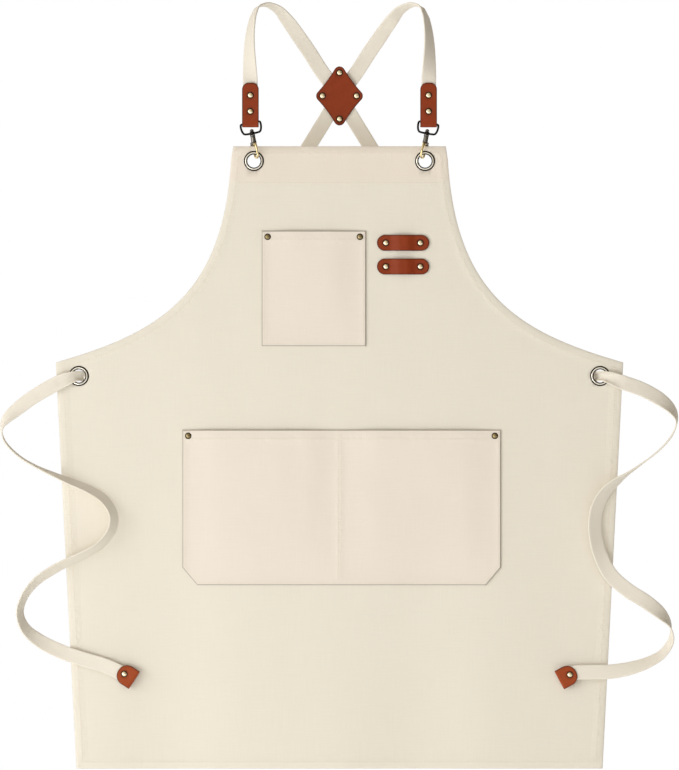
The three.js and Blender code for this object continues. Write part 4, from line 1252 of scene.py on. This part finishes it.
def boxBlock(bm, low, high, place, bevel=0.25):
    middle = [(a + b) / 2 for a, b in zip(low, high)]
    size = [b - a for a, b in zip(low, high)]
    part = bmesh.new()
    bmesh.ops.create_cube(part, size=1, matrix=Matrix.Translation(middle) @ Matrix.Diagonal((*size, 1)))
    part.verts.layers.float.new("shade_and_patina")
    bmesh.ops.bevel(part, geom=part.edges[:], offset=bevel, segments=3, profile=0.5, affect="EDGES", material=-1)
    bmesh.ops.transform(part, matrix=place, verts=part.verts)
    temporary = bpy.data.meshes.new("block")
    part.to_mesh(temporary)
    part.free()
    bm.from_mesh(temporary)
    bpy.data.meshes.remove(temporary)
    for vert in bm.verts:
        vert.tag = True


def startMetal():
    bm = bmesh.new()
    bm.verts.layers.float.new("shade_and_patina")
    return bm


def endMetal(name, bm, finish, body, replaced):
    bmesh.ops.scale(bm, vec=(mm, mm, mm), verts=bm.verts)
    return finishPiece(name, bm, finish, body, replaced)


def bentEye():
    h = hook
    bend = 1.9
    half = [(h["eyeTop"] - bend - 1.5, 0), (h["eyeTop"] - bend, -0.05), (h["eyeTop"] - 0.45, -0.6),
            (h["eyeTop"], -bend - 0.3), (h["eyeTop"], -h["eyeStraight"]), (h["eyeLow"] + 0.7, -h["eyeDrop"] + 3.0),
            (h["eyeLow"] - 0.9, -h["eyeDrop"] + 0.7), (h["eyeLow"] - 3.6, -h["eyeDrop"] + 0.05)]
    points = [(x, 0, z) for x, z in half] + [(-x, 0, z) for x, z in reversed(half)]
    return smoothLine(points, 96, closed=True)


for side, way in (("left", -1), ("right", 1)):
    hanger = Matrix.Translation((way * hook["x"], hook["y"], hook["z"])) @ Matrix.Rotation(way * hook["tilt"], 4, "Y")
    swivel = hanger @ Matrix.Rotation(-way * hook["turn"], 4, "Z")

    bm = startMetal()
    turnedMetal(bm, [
        (1.5, -10.7, 1.0), (2.3, -10.7, 0.6), (2.95, -11.1, 0.2), (3.25, -11.8, 0.0), (3.3, -12.8, 0.0),
        (3.25, -13.7, 0.1), (2.85, -14.2, 0.7), (1.5, -14.25, 1.0), (1.5, -10.7, 1.0),
    ], hanger, 28)
    addWire(bm, bentEye(), [hook["eyeWire"]] * 96, hanger, closed=True)
    endMetal(f"hook_eye_{side}_wire", bm, "blackWire", f"eye_{side}", [f"hook_eye_{side}"])

    bm = startMetal()
    turnedMetal(bm, [  # the swivel's head and stem, and the barrel with a turned collar at each end
        (0, -7.6, 0.2), (1.2, -7.8, 0.2), (2.2, -8.6, 0.1), (2.5, -9.7, 0.3), (2.4, -10.4, 0.9),
        (1.2, -10.5, 1.0), (1.2, -14.45, 1.0), (2.8, -14.5, 0.8), (3.2, -14.8, 0.1), (3.3, -15.4, 0.0),
        (3.15, -15.9, 0.3), (2.9, -16.3, 1.0), (2.95, -16.9, 0.3),
        (3.0, -19, 0.0), (3.1, -22, 0.0), (3.2, -23.5, 0.3), (3.15, -23.9, 1.0), (3.3, -24.4, 0.3), (3.3, -25.8, 0.0),
        (2.7, -26.5, 0.5), (1.6, -26.9, 1.0), (0, -27.0, 1.0),
    ], swivel, 32)
    boxBlock(bm, (-3.05, 0.3, -25.6), (3.05, 7.0, -23.4), swivel, 0.5)
    for ear in (-1, 1):
        boxBlock(bm, (min(ear * 2.05, ear * 3.05), 3.3, -29.6), (max(ear * 2.05, ear * 3.05), 7.4, -23.9), swivel, 0.45)
    endMetal(f"snap_hook_{side}_body", bm, "gunmetal", f"hook_{side}", [f"snap_hook_{side}"])

    h = hook
    clawStops = [
        [0, 0, -25.0], [0, -1.6, -25.9], [0, -4.4, h["clawShoulder"] + 0.9], [0, -6.2, h["clawShoulder"] - 1.4],
        [0, -h["clawHalf"], h["clawShoulder"] - 4], [0, -h["clawHalf"], h["clawBottom"] + h["clawCorner"] + 1],
        [0, -h["clawHalf"] + 1, h["clawBottom"] + 1.8], [0, -h["clawHalf"] + h["clawCorner"], h["clawBottom"]],
        [0, 0, h["clawBottom"]], [0, h["clawHalf"] - h["clawCorner"], h["clawBottom"]],
        [0, h["clawHalf"] - 1, h["clawBottom"] + 1.8], [0, h["clawHalf"], h["clawBottom"] + h["clawCorner"] + 0.6],
        [0, h["clawHalf"], h["clawTip"]],
    ]
    line = smoothLine(clawStops, 72)
    radii = [2.4 - 1.1 * smoothStep(i, 0, 26) for i in range(60)]
    radii += [h["clawWire"] * (1 - 0.3 * smoothStep(i, 66, 72)) for i in range(60, 73)]
    bm = startMetal()
    addWire(bm, line, radii, swivel, sides=16)
    endMetal(f"snap_hook_{side}_claw", bm, "gilt", f"hook_{side}", [])

    bm = startMetal()
    across = swivel @ Matrix.Translation((0, h["gateY"], h["gateZ"])) @ Matrix.Rotation(math.pi / 2, 4, "Y")
    turnedMetal(bm, [
        (0.95, -1.1, 0.8), (1.7, -1.1, 0.4), (1.9, -0.9, 0.0), (1.9, 0.9, 0.0), (1.7, 1.1, 0.4), (0.95, 1.1, 0.8),
        (0.95, -1.1, 0.8),
    ], across @ Matrix.Translation((0, 0, -0.55)), 24)
    boxBlock(bm, (-1.2, h["gateY"] + 0.2, h["gateEnd"]), (1.2, h["gateY"] + 1.6, h["gateZ"] - 1.1), swivel, 0.35)
    boxBlock(bm, (-1.2, h["gateY"] + 0.9, h["gateZ"] - 1.7), (0.5, h["gateY"] + 1.75, h["gateZ"] + 0.2), swivel, 0.3)
    endMetal(f"hook_gate_{side}_lever", bm, "gilt", f"gate_{side}", [f"hook_gate_{side}"])

    bm = startMetal()
    turnedMetal(bm, [
        (0, -3.75, 0.1), (0.9, -3.7, 0.1), (1.25, -3.45, 0.3), (1.3, -3.25, 0.8), (0.6, -3.2, 1.0),
        (0.6, 3.2, 1.0), (1.3, 3.25, 0.8), (1.25, 3.45, 0.3), (0.9, 3.7, 0.1), (0, 3.75, 0.1),
    ], across, 20)
    bmesh.ops.recalc_face_normals(bm, faces=bm.faces)
    endMetal(f"gate_pin_{side}_rivet", bm, "gunmetal", f"hook_{side}", [f"gate_pin_{side}"])

    turns = 2.2
    coil = [(1.35 * math.cos(t), 1.35 * math.sin(t), 1.0 + 0.72 * t / (turns * math.tau)) for t in
            [turns * math.tau * i / 54 for i in range(55)]]
    bm = startMetal()
    spring = bmesh.new()
    bmesh.ops.create_grid(spring, x_segments=54, y_segments=8, size=1)
    spring.verts.layers.float.new("shade_and_patina")
    for vert in spring.verts:
        i = round((vert.co.x + 1) / 2 * 54)
        turn = (vert.co.y + 1) / 2 * math.tau
        x, y, z = coil[i]
        away = Vector((x, y, 0)).normalized()
        vert.co = across @ (Vector((x, y, z)) + away * 0.17 * math.cos(turn) + Vector((0, 0, 0.17 * math.sin(turn))))
    bmesh.ops.remove_doubles(spring, verts=spring.verts, dist=0.002)
    bmesh.ops.holes_fill(spring, edges=[e for e in spring.edges if e.is_boundary], sides=0)
    bmesh.ops.recalc_face_normals(spring, faces=spring.faces)
    bm.free()
    endMetal(f"gate_spring_{side}_coil", spring, "gunmetal", f"hook_{side}", [f"gate_spring_{side}"])
print("hooks")

# Look up the sewn pockets and the ties once more; nothing is done with them

for name, (piece, sewn) in sewnPockets.items():
    pocket = pockets[name]
for side in ("left", "right"):
    tie, path, length = straps[f"tie_{side}"]

# Light and floor

# The room's glow at its brightest, behind and at its dimmest, then the softboxes' powers
light = {
    "high": 0.88, "rear": 0.7, "low": 0.17, "dim": (1.0, 0.8, 0.52, 1), "from": (-0.66, -0.74, 0.12),
    "key": 36, "lowFront": 8.5, "back": 16, "strip": 4,
}
world = bpy.data.worlds.new("studio")
world.use_nodes = True
worldTree = world.node_tree
way = addNode(worldTree, "ShaderNodeTexCoord").outputs["Generated"]
toward = addNode(worldTree, "ShaderNodeVectorMath", {0: way, 1: light["from"]},
                 operation="DOT_PRODUCT").outputs["Value"]
glow = addNode(worldTree, "ShaderNodeMapRange", {"Value": toward, "From Min": -0.02, "From Max": 0.93,
               "To Min": light["low"], "To Max": light["high"]}, interpolation_type="SMOOTHSTEP").outputs["Result"]
behind = addNode(worldTree, "ShaderNodeVectorMath", {0: way, 1: (-0.1, 0.97, 0.22)},
                 operation="DOT_PRODUCT").outputs["Value"]
rear = addNode(worldTree, "ShaderNodeMapRange", {"Value": behind, "From Min": 0.3, "From Max": 0.95,
               "To Min": 0.0, "To Max": light["rear"]}, interpolation_type="SMOOTHSTEP").outputs["Result"]
glow = calc(worldTree, "ADD", glow, rear)
tint = blendColour(worldTree, calc(worldTree, "MULTIPLY", glow, 0.9, clamp=True), light["dim"], (1, 1, 1, 1))
seen = addNode(worldTree, "ShaderNodeLightPath").outputs["Is Camera Ray"]
tint = blendColour(worldTree, seen, tint, (1, 1, 1, 1))
worldTree.links.new(tint, worldTree.nodes["Background"].inputs["Color"])
glow = addNode(worldTree, "ShaderNodeMix", {0: seen, 2: glow, 3: 1.0}).outputs[0]
worldTree.links.new(glow, worldTree.nodes["Background"].inputs["Strength"])
bpy.context.scene.world = world


def softbox(name, power, size, place, aim):
    lamp = bpy.data.lights.new(name, "AREA")
    lamp.shape = "RECTANGLE"
    lamp.size, lamp.size_y = size
    lamp.energy = power
    holder = bpy.data.objects.new(name, lamp)
    bpy.context.scene.collection.objects.link(holder)
    holder.location = place
    holder.rotation_euler = (Vector(aim) - Vector(place)).to_track_quat("-Z", "Y").to_euler()
    holder.visible_camera = False


softbox("key", light["key"], (2.2, 1.4), (-3.4, -2.9, -0.2), (0, 0, -0.6))
softbox("low_front", light["lowFront"], (1.4, 0.4), (-1.0, -1.7, -1.2), (0, 0, -0.9))
softbox("strip", light["strip"], (0.25, 1.6), (-2.0, -0.9, -0.2), (0, 0, -0.4))
softbox("back", light["back"], (2.2, 1.6), (-0.9, 2.6, 0.9), (0, 0, -0.45))

floorBm = bmesh.new()
bmesh.ops.create_circle(floorBm, cap_ends=True, segments=96, radius=7, matrix=Matrix.Translation((0, 0, -1.5)))
floorMesh = bpy.data.meshes.new("floor")
floorBm.to_mesh(floorMesh)
floorBm.free()
floor = bpy.data.objects.new("floor", floorMesh)
bpy.context.scene.collection.objects.link(floor)
floorMaterial, floorTree, floorShader = newFinish("pale_floor")
floorShader.inputs["Base Color"].default_value = (0.93, 0.93, 0.92, 1)
floorShader.inputs["Roughness"].default_value = 0.9
floorShader.inputs["Emission Color"].default_value = (1, 1, 1, 1)
floorShader.inputs["Emission Strength"].default_value = 0.22
spot = addNode(floorTree, "ShaderNodeTexCoord").outputs["Object"]
away = addNode(floorTree, "ShaderNodeVectorMath", {0: spot}, operation="LENGTH").outputs["Value"]
fade = addNode(floorTree, "ShaderNodeMapRange", {"Value": away, "From Min": 1.75, "From Max": 2.7},
               interpolation_type="SMOOTHSTEP").outputs["Result"]
bright = addNode(floorTree, "ShaderNodeEmission", {"Color": (1, 1, 1, 1), "Strength": 1.0}).outputs[0]
ended = addNode(floorTree, "ShaderNodeMixShader", {0: fade, 1: floorShader.outputs[0], 2: bright}).outputs[0]
floorTree.links.new(ended, floorTree.nodes["Material Output"].inputs["Surface"])
floorMesh.materials.append(floorMaterial)
